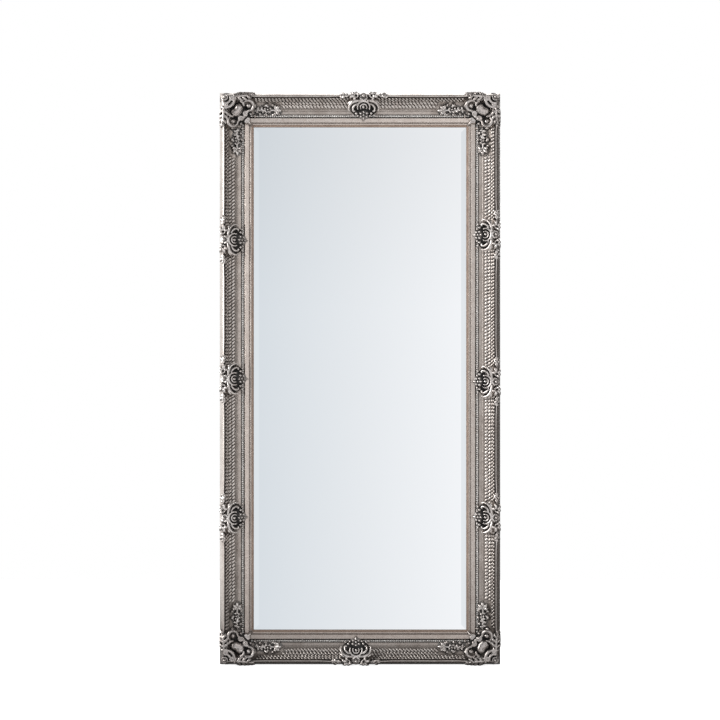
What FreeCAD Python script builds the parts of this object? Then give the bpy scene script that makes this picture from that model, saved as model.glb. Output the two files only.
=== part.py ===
"""Leaning floor mirror: swept baroque frame, cast ornaments, bevelled glass and back fittings.

Millimetres, +X right, +Z up, the glass faces -Y. The origin is at the middle of the foot.
Each rail is drawn lying on its back in a rail frame: X along the rail from its middle, Y from the
frame's outer edge inwards, Z from the rail's back to its front. A corner frame has its X and Y
along the two outer edges that meet at the corner and the same Z.
"""
import FreeCAD
import Part
import math
import os
import Sketcher

Vector = FreeCAD.Vector
Rotation = FreeCAD.Rotation
Placement = FreeCAD.Placement

SIZES = {
    # the whole frame and the height of its highest ornament above the rails' backs
    "frame_width": 810,
    "frame_height": 1650,
    "relief_height": 60,
    # rail section, from the outer edge inwards, each run added to the one before it
    "slope_run": 9,
    "crown_run": 4,
    "ridge_run": 6,
    "step_run": 1,
    "cove_run": 27,
    "band_run": 14,
    "bead_gap": 2,
    "bead_run": 5.5,
    "groove_run": 2.5,
    "ledge_run": 16,
    # rail section, from the back up, each rise added to the one before it
    "rebate_depth": 12,
    "groove_rise": 3,
    "bead_seat_rise": 2,
    "band_rise": 3,
    "cove_rise": 23,
    "ridge_step": 5,
    "ridge_fall": 2,
    "crown_rise": 4,
    "slope_rise": 20,
    "bead_height": 2.7,
    "cove_sag": 6,
    # swept line: the ridge is bitten away beside each ornament
    "bite_depth": 8,
    "bite_half_length": 110,
    # slip: the flat band and sight bead that hold the glass from the front
    "slip_lap": 10,
    "slip_rise": 8,
    "slip_bevel": 1.5,
    "slip_fall": 2,
    "slip_band_run": 13,
    "slip_groove_run": 2,
    "slip_groove_depth": 1.5,
    "sight_bead_run": 6,
    "sight_bead_height": 2.4,
    "sight_lip": 2,
    # glass, backing board and the blades that hold them in the rebate
    "glass_thickness": 4,
    "glass_clearance": 1,
    "glass_play": 0.1,
    "glass_bevel_width": 24,
    "glass_bevel_drop": 2,
    "board_thickness": 3,
    "board_clearance": 1.5,
    "blade_length": 14,
    "blade_width": 8,
    "blade_thickness": 0.6,
    "blade_bite": 6,
    "blade_play": 0.1,
    "side_blade_spacing": 290,
    "end_blade_spacing": 230,
    # cartouches: where they sit along the rails
    "cartouche_spacing": 400,
    "top_cartouche_shift": 11,
    "bottom_cartouche_shift": -12,
    "right_upper_shift": 14,
    "right_middle_shift": -9,
    # cartouches: their own forms
    "boss_spread": 35,
    "boss_rise": 20,
    "boss_centre": 42,
    "eyelet_radius": 8,
    "eyelet_wire": 3.2,
    "eyelet_inset": 14,
    "pearl_radius": 4.5,
    "curl_radius": 5,
    "curl_wire": 3.2,
    "curl_offset": 18,
    "flute_root_radius": 3.5,
    "flute_tip_radius": 6,
    "flute_reach": 48,
    "flute_fan_angle": 27,
    "bud_radius": 10,
    "floret_radius": 5.5,
    "floret_offset": 10,
    "floret_lead": 2,
    "flute_root_rise": 2,
    "flute_tip_rise": 8,
    "flute_side_rise": 3,
    "curl_sink": 1,
    "leaf_root_radius": 5.5,
    "leaf_tip_radius": 1.5,
    "leaf_root_sink": 2,
    "leaf_tip_sink": 3,
    "leaf_root_inset": 6.5,
    "leaf_tip_inset": 7.5,
    "leaf_tip_offset": 67,
    # corner ornaments
    "corner_boss_centre": 53,
    "corner_boss_spread": 34,
    "corner_boss_rise": 22,
    "corner_eyelet_inset": 18,
    "corner_bulb_radius": 13,
    "corner_bulb_sink": 3,
    "corner_flute_reach": 60,
    "corner_flute_fan_angle": 24,
    "corner_flute_side_rise": 14,
    "corner_curl_offset": 42,
    "corner_curl_radius": 6.5,
    "corner_leaf_radius": 8,
    "corner_leaf_inset": 4,
    "corner_leaf_start": 28,
    "corner_leaf_length": 97,
    # flower sprays that lie in the cove beside each corner
    "spray_start": 102,
    "spray_length": 78,
    "spray_inset": 50,
    "spray_rise": 1,
    "spray_stem_radius": 3,
    "spray_leaf_radius": 4.6,
    "spray_leaf_length": 20,
    "spray_leaf_angle": 40,
    "spray_leaf_rise": 3,
    "spray_flower_radius": 6,
    "spray_petal_radius": 3.2,
    "spray_petal_rise": 2,
    "spray_heart_radius": 4.2,
    "spray_heart_rise": 3,
    # steel corner braces and their screws
    "brace_inset": 30,
    "brace_arm_length": 75,
    "brace_arm_width": 16,
    "brace_thickness": 1.5,
    "brace_first_screw": 28,
    "brace_screw_pitch": 34,
    "screw_radius": 1.75,
    "screw_length": 14,
    "screw_point_length": 3,
    "screw_head_radius": 3.5,
    "screw_head_height": 2.2,
    "screw_crown_radius": 2.1,
    "screw_rim_height": 0.9,
    "screw_slot_width": 1,
    "screw_slot_depth": 1.2,
    "pilot_play": 0.05,
    "pilot_spare": 1,
    "screw_hole_play": 0.3,
    # strap hangers with their D-rings
    "hanger_height": 1400,
    "hanger_inset": 50,
    "strap_width": 12,
    "strap_length": 36,
    "strap_end_bow": 4,
    "strap_thickness": 1,
    "strap_screw_drop": 29,
    "ring_wire_radius": 1.75,
    "ring_bend_radius": 10.75,
    "ring_leg": 5,
    "ring_play": 0.08,
    "eye_stand": 3.3,
    "eye_wall": 1,
    # felt pads that keep the frame off the wall
    "bumper_radius": 10,
    "bumper_thickness": 7,
    "bumper_inset": 17,
}

DOCUMENT = FreeCAD.newDocument("FloorMirror")
SHEET = DOCUMENT.addObject("Spreadsheet::Sheet", "Sizes")
for row, (alias, number) in enumerate(SIZES.items(), start=1):
    SHEET.set(f"A{row}", str(number))
    SHEET.setAlias(f"A{row}", alias)
DOCUMENT.recompute()

# Places in the rail section, as expressions on the sheet: distance in from the outer edge ...
W_SLOPE = "Sizes.slope_run"
W_CROWN = f"{W_SLOPE} + Sizes.crown_run"
W_RIDGE = f"{W_CROWN} + Sizes.ridge_run"
W_COVE = f"{W_RIDGE} + Sizes.step_run"
W_COVE_END = f"{W_COVE} + Sizes.cove_run"
W_BAND_END = f"{W_COVE_END} + Sizes.band_run"
W_BEAD = f"{W_BAND_END} + Sizes.bead_gap"
W_BEAD_END = f"{W_BEAD} + Sizes.bead_run"
W_LEDGE = f"{W_BEAD_END} + Sizes.groove_run"
W_RAIL = f"{W_LEDGE} + Sizes.ledge_run"
W_SIGHT = f"{W_RAIL} + Sizes.slip_lap"
# ... and height above the rail's back.
D_LEDGE = "Sizes.rebate_depth"
D_GROOVE = f"{D_LEDGE} + Sizes.groove_rise"
D_BAND = f"{D_GROOVE} + Sizes.bead_seat_rise"
D_COVE_FOOT = f"{D_BAND} + Sizes.band_rise"
D_COVE_TOP = f"{D_COVE_FOOT} + Sizes.cove_rise"
D_RIDGE = f"{D_COVE_TOP} + Sizes.ridge_step"
D_CROWN = f"{D_RIDGE} + Sizes.ridge_fall"
D_SLOPE = f"{D_CROWN} - Sizes.crown_rise"
D_SIDE = f"{D_SLOPE} - Sizes.slope_rise"
D_SLIP = f"{D_LEDGE} + Sizes.slip_rise"
# The rails' backs lie on this plane, so that the depth with its felt pads is centred on Y = 0.
BACK_Y = "(Sizes.relief_height - Sizes.bumper_thickness) / 2"

# Each side of the frame: its turn about Y, the middle of its outer edge, and its length.
SIDES = {
    "bottom": (0, "0 * Sizes.frame_width", "0 * Sizes.frame_height", "Sizes.frame_width"),
    "left": (90, "-Sizes.frame_width / 2", "Sizes.frame_height / 2", "Sizes.frame_height"),
    "top": (180, "0 * Sizes.frame_width", "Sizes.frame_height", "Sizes.frame_width"),
    "right": (270, "Sizes.frame_width / 2", "Sizes.frame_height / 2", "Sizes.frame_height"),
}
# Each corner: its turn about Y and its place. Its frame's X axis runs along the side named last.
CORNERS = {
    "bottom_left": (0, "-Sizes.frame_width / 2", "0 * Sizes.frame_height", "bottom", "left"),
    "top_left": (90, "-Sizes.frame_width / 2", "Sizes.frame_height", "left", "top"),
    "top_right": (180, "Sizes.frame_width / 2", "Sizes.frame_height", "top", "right"),
    "bottom_right": (270, "Sizes.frame_width / 2", "0 * Sizes.frame_height", "right", "bottom"),
}
# Where the cartouches stand on each rail, as distances along it from its middle.
CARTOUCHES = {
    "bottom": {"cartouche_bottom": "Sizes.bottom_cartouche_shift"},
    "top": {"cartouche_top": "-Sizes.top_cartouche_shift"},
    "left": {
        "cartouche_left_upper": "-Sizes.cartouche_spacing",
        "cartouche_left_middle": "0 * Sizes.cartouche_spacing",
        "cartouche_left_lower": "Sizes.cartouche_spacing",
    },
    "right": {
        "cartouche_right_upper": "Sizes.cartouche_spacing + Sizes.right_upper_shift",
        "cartouche_right_middle": "0 * Sizes.cartouche_spacing + Sizes.right_middle_shift",
        "cartouche_right_lower": "-Sizes.cartouche_spacing",
    },
}
# Where the leaves stand on a spray's stem, as shares of its length.
SPRAY_LEAF_SHARES = (0.2, 0.68)
SIDE_BLADES = 5
END_BLADES = 3
CUT_MARGIN = 1.0
ENVELOPE_SPARE = 20.0


def value(expression):
    """The number that an expression on the sheet stands for now."""
    return float(SHEET.evalExpression(expression))


def bind(thing, **properties):
    """Bind an object's properties to expressions on the sheet."""
    for name, expression in properties.items():
        thing.setExpression(name, expression)


def place(thing, rotation, x, y, z):
    """Turn an object and bind its place to three expressions."""
    thing.Placement = Placement(Vector(value(x), value(y), value(z)), rotation)
    thing.setExpression("Placement.Base.x", x)
    thing.setExpression("Placement.Base.y", y)
    thing.setExpression("Placement.Base.z", z)


def upright(turn):
    """Rotation that stands a lying rail or corner up and turns it about Y to its side."""
    return Rotation(Vector(0, 1, 0), turn) * Rotation(Vector(1, 0, 0), 90)


# --- sketches and features ---------------------------------------------------------------------

def new_body(name):
    """A PartDesign body whose label is the sub-part's name."""
    body = DOCUMENT.addObject("PartDesign::Body", name)
    body.Label = name
    return body


def new_sketch(body, role, offset="0 * Sizes.frame_width"):
    """A sketch on one of the body's own origin planes, moved along the plane's normal."""
    sketch = body.newObject("Sketcher::SketchObject", "Outline")
    origin_plane = next(f for f in body.Origin.OriginFeatures if f.Role == role)
    sketch.AttachmentSupport = (origin_plane, "")
    sketch.MapMode = "FlatFace"
    sketch.setExpression("AttachmentOffset.Base.z", offset)
    return sketch


def pin_point(sketch, edge, vertex, x, y):
    """Tie one end of an edge to a place given by two expressions."""
    for kind, expression in (("DistanceX", x), ("DistanceY", y)):
        number = sketch.addConstraint(
            Sketcher.Constraint(kind, -1, 1, edge, vertex, value(expression)))
        sketch.setExpression(f"Constraints[{number}]", expression)


def draw_outline(sketch, outline):
    """Draw a closed outline of straight edges and arcs.

    Each entry is (x, y) or (x, y, rise): rise bows the edge that starts there to the left of its
    direction by that height, or to the right where it starts with a minus sign.
    """
    corners = [Vector(value(entry[0]), value(entry[1]), 0) for entry in outline]
    edges = []
    for number, entry in enumerate(outline):
        following = (number + 1) % len(outline)
        start, end = corners[number], corners[following]
        if len(entry) == 2:
            edges.append((sketch.addGeometry(Part.LineSegment(start, end), False), 1, 2))
            continue
        rise = value(entry[2])
        chord = end - start
        left = Vector(-chord.y, chord.x, 0).normalize()
        arc = Part.Arc(start, (start + end) * 0.5 + left * rise, end)
        edge = sketch.addGeometry(arc, False)
        flipped = sketch.getPoint(edge, 1).distanceToPoint(start) > chord.Length / 2
        edges.append((edge, 2, 1) if flipped else (edge, 1, 2))
        x_run = f"({outline[following][0]}) - ({entry[0]})"
        y_run = f"({outline[following][1]}) - ({entry[1]})"
        bow = f"abs({entry[2]})"
        radius = f"(({x_run})^2 + ({y_run})^2) / (8 * {bow}) + {bow} / 2"
        constraint = sketch.addConstraint(Sketcher.Constraint("Radius", edge, value(radius)))
        sketch.setExpression(f"Constraints[{constraint}]", radius)
    for number, (edge, first, last) in enumerate(edges):
        following_edge, following_first, _ = edges[(number + 1) % len(edges)]
        sketch.addConstraint(
            Sketcher.Constraint("Coincident", edge, last, following_edge, following_first))
        pin_point(sketch, edge, first, outline[number][0], outline[number][1])


def draw_circle(sketch, x, y, radius):
    """Draw a circle at a place and with a radius given by expressions."""
    circle = Part.Circle(Vector(value(x), value(y), 0), Vector(0, 0, 1), value(radius))
    edge = sketch.addGeometry(circle, False)
    pin_point(sketch, edge, 3, x, y)
    constraint = sketch.addConstraint(Sketcher.Constraint("Radius", edge, value(radius)))
    sketch.setExpression(f"Constraints[{constraint}]", radius)


def rectangle(x_low, y_low, x_high, y_high):
    """Outline of a rectangle between two corners."""
    return [(x_low, y_low), (x_high, y_low), (x_high, y_high), (x_low, y_high)]


def pad(body, sketch, length, symmetric=False, along_normal=True):
    """Extrude a sketch by a length, along its plane's normal or against it."""
    feature = body.newObject("PartDesign::Pad", "Pad")
    feature.Profile = sketch
    feature.SideType = "Symmetric" if symmetric else "One side"
    feature.Reversed = not along_normal
    feature.setExpression("Length", length)
    DOCUMENT.recompute()
    return feature


def pocket(body, sketch, length=None, along_normal=True):
    """Cut a sketch into the body, through all of it where no length is given."""
    before = body.Shape.Volume
    feature = body.newObject("PartDesign::Pocket", "Pocket")
    feature.Profile = sketch
    feature.Reversed = along_normal
    feature.Type = "Length" if length else "ThroughAll"
    if length:
        feature.setExpression("Length", length)
    DOCUMENT.recompute()
    if not body.Shape.Volume < before:
        raise RuntimeError(f"{body.Label}: a pocket cut nothing away")
    return feature


# --- rails and slips ---------------------------------------------------------------------------

RAIL_SECTION = [
    ("0 * Sizes.slope_run", "0 * Sizes.rebate_depth"),
    (W_RAIL, "0 * Sizes.rebate_depth"),
    (W_RAIL, D_LEDGE),
    (W_LEDGE, D_LEDGE),
    (W_LEDGE, D_GROOVE),
    (W_BEAD_END, D_GROOVE),
    (W_BEAD_END, D_BAND, "-Sizes.bead_height"),
    (W_BEAD, D_BAND),
    (W_BAND_END, D_BAND),
    (W_COVE_END, D_COVE_FOOT, "Sizes.cove_sag"),
    (W_COVE, D_COVE_TOP),
    (W_RIDGE, D_RIDGE),
    (W_CROWN, D_CROWN),
    (W_SLOPE, D_SLOPE),
    ("0 * Sizes.slope_run", D_SIDE),
]
SLIP_BAND_END = f"{W_LEDGE} + Sizes.slip_band_run"
SIGHT_BEAD = f"{SLIP_BAND_END} + Sizes.slip_groove_run"
SIGHT_BEAD_END = f"{SIGHT_BEAD} + Sizes.sight_bead_run"
SLIP_BAND_LOW = f"{D_SLIP} - Sizes.slip_fall"
SLIP_GROOVE = f"{SLIP_BAND_LOW} - Sizes.slip_groove_depth"
SIGHT_LIP_TOP = f"{D_LEDGE} + Sizes.sight_lip"
SLIP_SECTION = [
    (W_LEDGE, D_LEDGE),
    (W_SIGHT, D_LEDGE),
    (W_SIGHT, SIGHT_LIP_TOP),
    (SIGHT_BEAD_END, SLIP_GROOVE, "-Sizes.sight_bead_height"),
    (SIGHT_BEAD, SLIP_GROOVE),
    (SLIP_BAND_END, SLIP_GROOVE),
    (SLIP_BAND_END, SLIP_BAND_LOW),
    (f"{W_LEDGE} + Sizes.slip_bevel", D_SLIP),
    (W_LEDGE, f"{D_SLIP} - Sizes.slip_bevel"),
]


def make_moulding(name, section, length):
    """A strip of moulding in the rail frame with a mitre at both ends."""
    body = new_body(name)
    sketch = new_sketch(body, "YZ_Plane")
    draw_outline(sketch, section)
    pad(body, sketch, length, symmetric=True)
    mitres = new_sketch(body, "XY_Plane")
    inner = f"{W_SIGHT} + {CUT_MARGIN}"
    for sign in ("", "-"):
        end = f"{length} / 2"
        draw_outline(mitres, [
            (f"{sign}({end} + {CUT_MARGIN})", f"-{CUT_MARGIN} + 0 * Sizes.slope_run"),
            (f"{sign}({end} + {CUT_MARGIN})", inner),
            (f"{sign}({end} - ({inner}))", inner),
        ])
    pocket(body, mitres)
    return body


def bite_ridge(body, centres):
    """Cut the swept line: bow-shaped bites into the ridge, down to the cove's upper edge."""
    sketch = new_sketch(body, "XY_Plane", D_COVE_TOP)
    half = "Sizes.bite_half_length"
    past = f"{W_COVE} + {CUT_MARGIN}"
    for centre in centres:
        draw_outline(sketch, [
            (f"{centre} - {half}", past),
            (f"{centre} + {half}", past),
            (f"{centre} + {half}", W_COVE, "Sizes.bite_depth"),
            (f"{centre} - {half}", W_COVE),
        ])
    pocket(body, sketch)


def drill_pilots(body, places):
    """Drill blind pilot holes for the screws into the rail's back."""
    sketch = new_sketch(body, "XY_Plane")
    for x, y in places:
        draw_circle(sketch, x, y, "Sizes.screw_radius + Sizes.pilot_play")
    pocket(body, sketch, "Sizes.screw_length + Sizes.pilot_spare")


def blade_places(side):
    """Where the glazing blades stand along a rail, as expressions."""
    count, pitch = (SIDE_BLADES, "Sizes.side_blade_spacing")
    if side in ("top", "bottom"):
        count, pitch = (END_BLADES, "Sizes.end_blade_spacing")
    return [f"{number - (count - 1) / 2} * {pitch}" for number in range(count)]


GLASS_HIDDEN = "(Sizes.slip_lap - Sizes.glass_clearance)"
GLASS_FRONT = (f"{D_LEDGE} - Sizes.glass_play"
               f" + Sizes.glass_bevel_drop * (1 - {GLASS_HIDDEN} / Sizes.glass_bevel_width)")
GLASS_BACK = f"{GLASS_FRONT} - Sizes.glass_thickness"
BOARD_BACK = f"{GLASS_BACK} - Sizes.board_thickness"
BLADE_BACK = f"{BOARD_BACK} - Sizes.blade_thickness"


def slot_for_blades(body, side):
    """Cut the narrow slots that the glazing blades are driven into, in the rebate's wall."""
    sketch = new_sketch(body, "XZ_Plane", f"-({W_RAIL})")
    for centre in blade_places(side):
        draw_outline(sketch, rectangle(
            f"{centre} - Sizes.blade_width / 2 - Sizes.blade_play",
            f"{BLADE_BACK} - Sizes.blade_play",
            f"{centre} + Sizes.blade_width / 2 + Sizes.blade_play",
            f"{BOARD_BACK} + Sizes.blade_play"))
    pocket(body, sketch, "Sizes.blade_bite + Sizes.blade_play")


BRACE_LINE = "Sizes.brace_inset + Sizes.brace_arm_width / 2"
BRACE_SCREWS = [
    "Sizes.brace_inset + Sizes.brace_first_screw",
    "Sizes.brace_inset + Sizes.brace_first_screw + Sizes.brace_screw_pitch",
]


def hanger_pilot(side):
    """Pilot hole of the strap hanger on a side rail, in the rail frame."""
    sign = "-" if side == "left" else ""
    drop = "Sizes.hanger_height - Sizes.strap_screw_drop - Sizes.frame_height / 2"
    return (f"{sign}({drop})", "Sizes.hanger_inset")


def make_rail(side):
    """One rail of the frame with its swept ridge, pilot holes and blade slots."""
    turn, x, z, length = SIDES[side]
    body = make_moulding(f"rail_{side}", RAIL_SECTION, length)
    ends = [f"-{length} / 2", f"{length} / 2"]
    bite_ridge(body, ends + list(CARTOUCHES[side].values()))
    pilots = []
    for sign in ("", "-"):
        for screw in BRACE_SCREWS:
            pilots.append((f"{sign}({length} / 2 - ({screw}))", BRACE_LINE))
    if side in ("left", "right"):
        pilots.append(hanger_pilot(side))
    drill_pilots(body, pilots)
    slot_for_blades(body, side)
    place(body, upright(turn), x, BACK_Y, z)
    return body


def make_slip(side):
    """One strip of the slip, lying on the rail's ledge and reaching over the glass."""
    turn, x, z, length = SIDES[side]
    body = make_moulding(f"slip_{side}", SLIP_SECTION, length)
    place(body, upright(turn), x, BACK_Y, z)
    return body


# --- glass, board and blades -------------------------------------------------------------------

def pane_outline(inset):
    """Outline of a pane, centred in the frame and inset from the rebate's walls."""
    half_width = f"(Sizes.frame_width / 2 - ({W_RAIL}) - ({inset}))"
    half_height = f"(Sizes.frame_height / 2 - ({W_RAIL}) - ({inset}))"
    return rectangle(f"-{half_width}", f"-{half_height}", half_width, half_height)


def make_pane(name, clearance, back, thickness):
    """A flat pane that lies in the rebate."""
    body = new_body(name)
    sketch = new_sketch(body, "XY_Plane")
    draw_outline(sketch, pane_outline(clearance))
    pad(body, sketch, thickness)
    place(body, upright(0), "0 * Sizes.frame_width", f"{BACK_Y} - ({back})",
          "Sizes.frame_height / 2")
    return body


def make_glass():
    """The mirror plate: its full size at the back, drawn in by the ground bevel to the front."""
    edge = "Sizes.glass_thickness - Sizes.glass_bevel_drop"
    body = make_pane("mirror_glass", "Sizes.glass_clearance", GLASS_BACK, edge)
    foot = new_sketch(body, "XY_Plane", edge)
    draw_outline(foot, pane_outline("Sizes.glass_clearance"))
    front = new_sketch(body, "XY_Plane", "Sizes.glass_thickness")
    draw_outline(front, pane_outline("Sizes.glass_clearance + Sizes.glass_bevel_width"))
    bevel = body.newObject("PartDesign::AdditiveLoft", "Bevel")
    bevel.Profile = foot
    bevel.Sections = [front]
    bevel.Ruled = True
    DOCUMENT.recompute()
    return body


def group(name, members):
    """Several separate solids kept as one named sub-part."""
    compound = DOCUMENT.addObject("Part::Compound", name)
    compound.Label = name
    compound.Links = members
    return compound


def copy_of(name, master, rotation, x, y, z):
    """A placed copy of a master shape."""
    copy = group(name, [master])
    place(copy, rotation, x, y, z)
    return copy


def along_side(side, u, w, d):
    """Expressions for the place of a point that is given in a side's rail frame."""
    _, x, z, _ = SIDES[side]
    y = f"{BACK_Y} - ({d})"
    return {
        "bottom": (f"{x} + ({u})", y, f"{z} + ({w})"),
        "left": (f"{x} + ({w})", y, f"{z} - ({u})"),
        "top": (f"{x} - ({u})", y, f"{z} - ({w})"),
        "right": (f"{x} - ({w})", y, f"{z} + ({u})"),
    }[side]


def make_blades():
    """The steel glazing blades, half in the rail's wall and half over the board."""
    blade = DOCUMENT.addObject("Part::Box", "Blade")
    bind(blade, Length="Sizes.blade_width", Width="Sizes.blade_length",
         Height="Sizes.blade_thickness")
    members = []
    for side, (turn, _, _, _) in SIDES.items():
        for centre in blade_places(side):
            u = f"{centre} - Sizes.blade_width / 2"
            w = f"{W_RAIL} - Sizes.blade_bite"
            members.append(copy_of("BladeCopy", blade, upright(turn),
                                   *along_side(side, u, w, BLADE_BACK)))
    return group("glazing_blades", members)


# --- ornaments ---------------------------------------------------------------------------------

FLUTE_ROOT = f"{D_COVE_TOP} + Sizes.flute_root_rise"
FLUTE_TIP = f"{D_COVE_FOOT} + Sizes.flute_tip_rise"
CURL_LEVEL = f"{D_CROWN} - Sizes.curl_sink"
LEAF_TIP_LEVEL = f"{D_SLOPE} - Sizes.leaf_tip_sink"


def ball(at, radius):
    """A sphere round a place given by three expressions."""
    sphere = DOCUMENT.addObject("Part::Sphere", "Ball")
    bind(sphere, Radius=radius)
    place(sphere, Rotation(), *at)
    return sphere


def ring(at, radius, wire):
    """A closed ring that lies flat on the frame."""
    torus = DOCUMENT.addObject("Part::Torus", "Ring")
    bind(torus, Radius1=radius, Radius2=wire)
    place(torus, Rotation(), *at)
    return torus


def spike(root, tip, root_radius, tip_radius):
    """A round taper from one place to another."""
    start = Vector(*[value(axis) for axis in root])
    end = Vector(*[value(axis) for axis in tip])
    cone = DOCUMENT.addObject("Part::Cone", "Spike")
    runs = [f"(({tip[axis]}) - ({root[axis]}))^2" for axis in range(3)]
    bind(cone, Radius1=root_radius, Radius2=tip_radius, Height=f"sqrt({' + '.join(runs)})")
    place(cone, Rotation(Vector(0, 0, 1), end - start), *root)
    return cone


def post(at, radius, height):
    """An upright round seat that rises from a place on the frame."""
    cylinder = DOCUMENT.addObject("Part::Cylinder", "Seat")
    bind(cylinder, Radius=radius, Height=height)
    place(cylinder, Rotation(), *at)
    return cylinder


def boss(centre_u, centre_w, spread, rise):
    """A low dome over the cove: the cap of a large ball, as wide as spread at the cove's foot."""
    radius = f"(({spread})^2 + ({rise})^2) / (2 * ({rise}))"
    return ball((centre_u, centre_w, f"{D_COVE_FOOT} + ({rise}) - ({radius})"), radius)


def eyelet(u, w):
    """A ring with a pearl in it, on its seat; the pearl is the frame's highest point."""
    pearl_at = (u, w, "Sizes.relief_height - Sizes.pearl_radius")
    ring_at = (u, w, D_CROWN)
    seat_at = (u, w, f"{D_COVE_TOP} - {CUT_MARGIN}")
    seat_height = f"Sizes.relief_height - Sizes.pearl_radius - ({D_COVE_TOP}) + {CUT_MARGIN}"
    return [
        ball(pearl_at, "Sizes.pearl_radius"),
        ring(ring_at, "Sizes.eyelet_radius", "Sizes.eyelet_wire"),
        post(seat_at, "Sizes.pearl_radius", seat_height),
        post(seat_at, "Sizes.eyelet_radius", f"({D_CROWN}) - ({D_COVE_TOP}) + {CUT_MARGIN}"),
    ]


def flutes(root, reach, fan_angle, middle_angle, heights):
    """Fluted shell ribs that fan out of a root, each ending in a round tip."""
    members = []
    for step, height in heights.items():
        turn = f"({middle_angle} + {step} * {fan_angle})"
        tip = (f"{root[0]} + {reach} * cos({turn} * 1deg)",
               f"{root[1]} + {reach} * sin({turn} * 1deg)", height)
        members.append(spike(root, tip, "Sizes.flute_root_radius", "Sizes.flute_tip_radius"))
        members.append(ball(tip, "Sizes.flute_tip_radius"))
    return members


def kept(point):
    """The same place."""
    return point


def mirrored_u(point):
    """The same place on the other side of an ornament's middle line."""
    return (f"-({point[0]})", point[1], point[2])


def cartouche_members():
    """The forms of a cartouche, in the rail frame, with its middle line at X = 0."""
    middle = "0 * Sizes.frame_width"
    root = (middle, "Sizes.eyelet_inset + Sizes.eyelet_radius", FLUTE_ROOT)
    members = eyelet(middle, "Sizes.eyelet_inset")
    members.append(boss(middle, "Sizes.boss_centre", "Sizes.boss_spread", "Sizes.boss_rise"))
    members.append(ball((middle, "Sizes.boss_centre", D_COVE_TOP), "Sizes.bud_radius"))
    side = f"{FLUTE_TIP} + Sizes.flute_side_rise"
    heights = {-2: side, -1: FLUTE_TIP, 0: FLUTE_TIP, 1: FLUTE_TIP, 2: side}
    members += flutes(root, "Sizes.flute_reach", "Sizes.flute_fan_angle", 90, heights)
    floret_w = "Sizes.eyelet_inset + Sizes.eyelet_radius + Sizes.flute_reach"
    lead = (middle, f"{floret_w} + Sizes.floret_lead", D_SLIP)
    members.append(ball(lead, "Sizes.floret_radius"))
    floret = ("Sizes.floret_offset", floret_w, D_SLIP)
    curl = ("Sizes.curl_offset", "Sizes.eyelet_inset", CURL_LEVEL)
    leaf_root = ("Sizes.curl_offset", "Sizes.leaf_root_inset",
                 f"{D_SLOPE} - Sizes.leaf_root_sink")
    leaf_tip = ("Sizes.leaf_tip_offset", "Sizes.leaf_tip_inset", LEAF_TIP_LEVEL)
    for turned in (kept, mirrored_u):
        members.append(ball(turned(floret), "Sizes.floret_radius"))
        members.append(ring(turned(curl), "Sizes.curl_radius", "Sizes.curl_wire"))
        members.append(spike(turned(leaf_root), turned(leaf_tip),
                             "Sizes.leaf_root_radius", "Sizes.leaf_tip_radius"))
    return members


def swapped(point):
    """The same place on the other side of a corner's diagonal."""
    return (point[1], point[0], point[2])


def corner_members():
    """The forms of a corner ornament, in the corner frame, alike on both sides of its mitre."""
    centre = "Sizes.corner_boss_centre"
    inset = "Sizes.corner_eyelet_inset"
    root_inset = f"{inset} + Sizes.eyelet_radius"
    root = (root_inset, root_inset, FLUTE_ROOT)
    members = eyelet(inset, inset)
    members.append(boss(centre, centre, "Sizes.corner_boss_spread", "Sizes.corner_boss_rise"))
    bulb = (centre, centre, f"{D_COVE_TOP} - Sizes.corner_bulb_sink")
    members.append(ball(bulb, "Sizes.corner_bulb_radius"))
    near = f"{FLUTE_TIP} + Sizes.flute_side_rise"
    far = f"{FLUTE_TIP} + Sizes.corner_flute_side_rise"
    heights = {-2: far, -1: near, 0: FLUTE_TIP, 1: near, 2: far}
    members += flutes(root, "Sizes.corner_flute_reach", "Sizes.corner_flute_fan_angle", 45,
                      heights)
    curl = ("Sizes.corner_curl_offset", "Sizes.eyelet_inset", CURL_LEVEL)
    leaf_root = ("Sizes.corner_leaf_start", "Sizes.corner_leaf_inset",
                 f"{D_SLOPE} - Sizes.curl_sink")
    leaf_tip = ("Sizes.corner_leaf_length", "Sizes.leaf_tip_inset", LEAF_TIP_LEVEL)
    for turned in (kept, swapped):
        members.append(ring(turned(curl), "Sizes.corner_curl_radius", "Sizes.curl_wire"))
        members.append(spike(turned(leaf_root), turned(leaf_tip),
                             "Sizes.corner_leaf_radius", "Sizes.leaf_tip_radius"))
    return members


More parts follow.
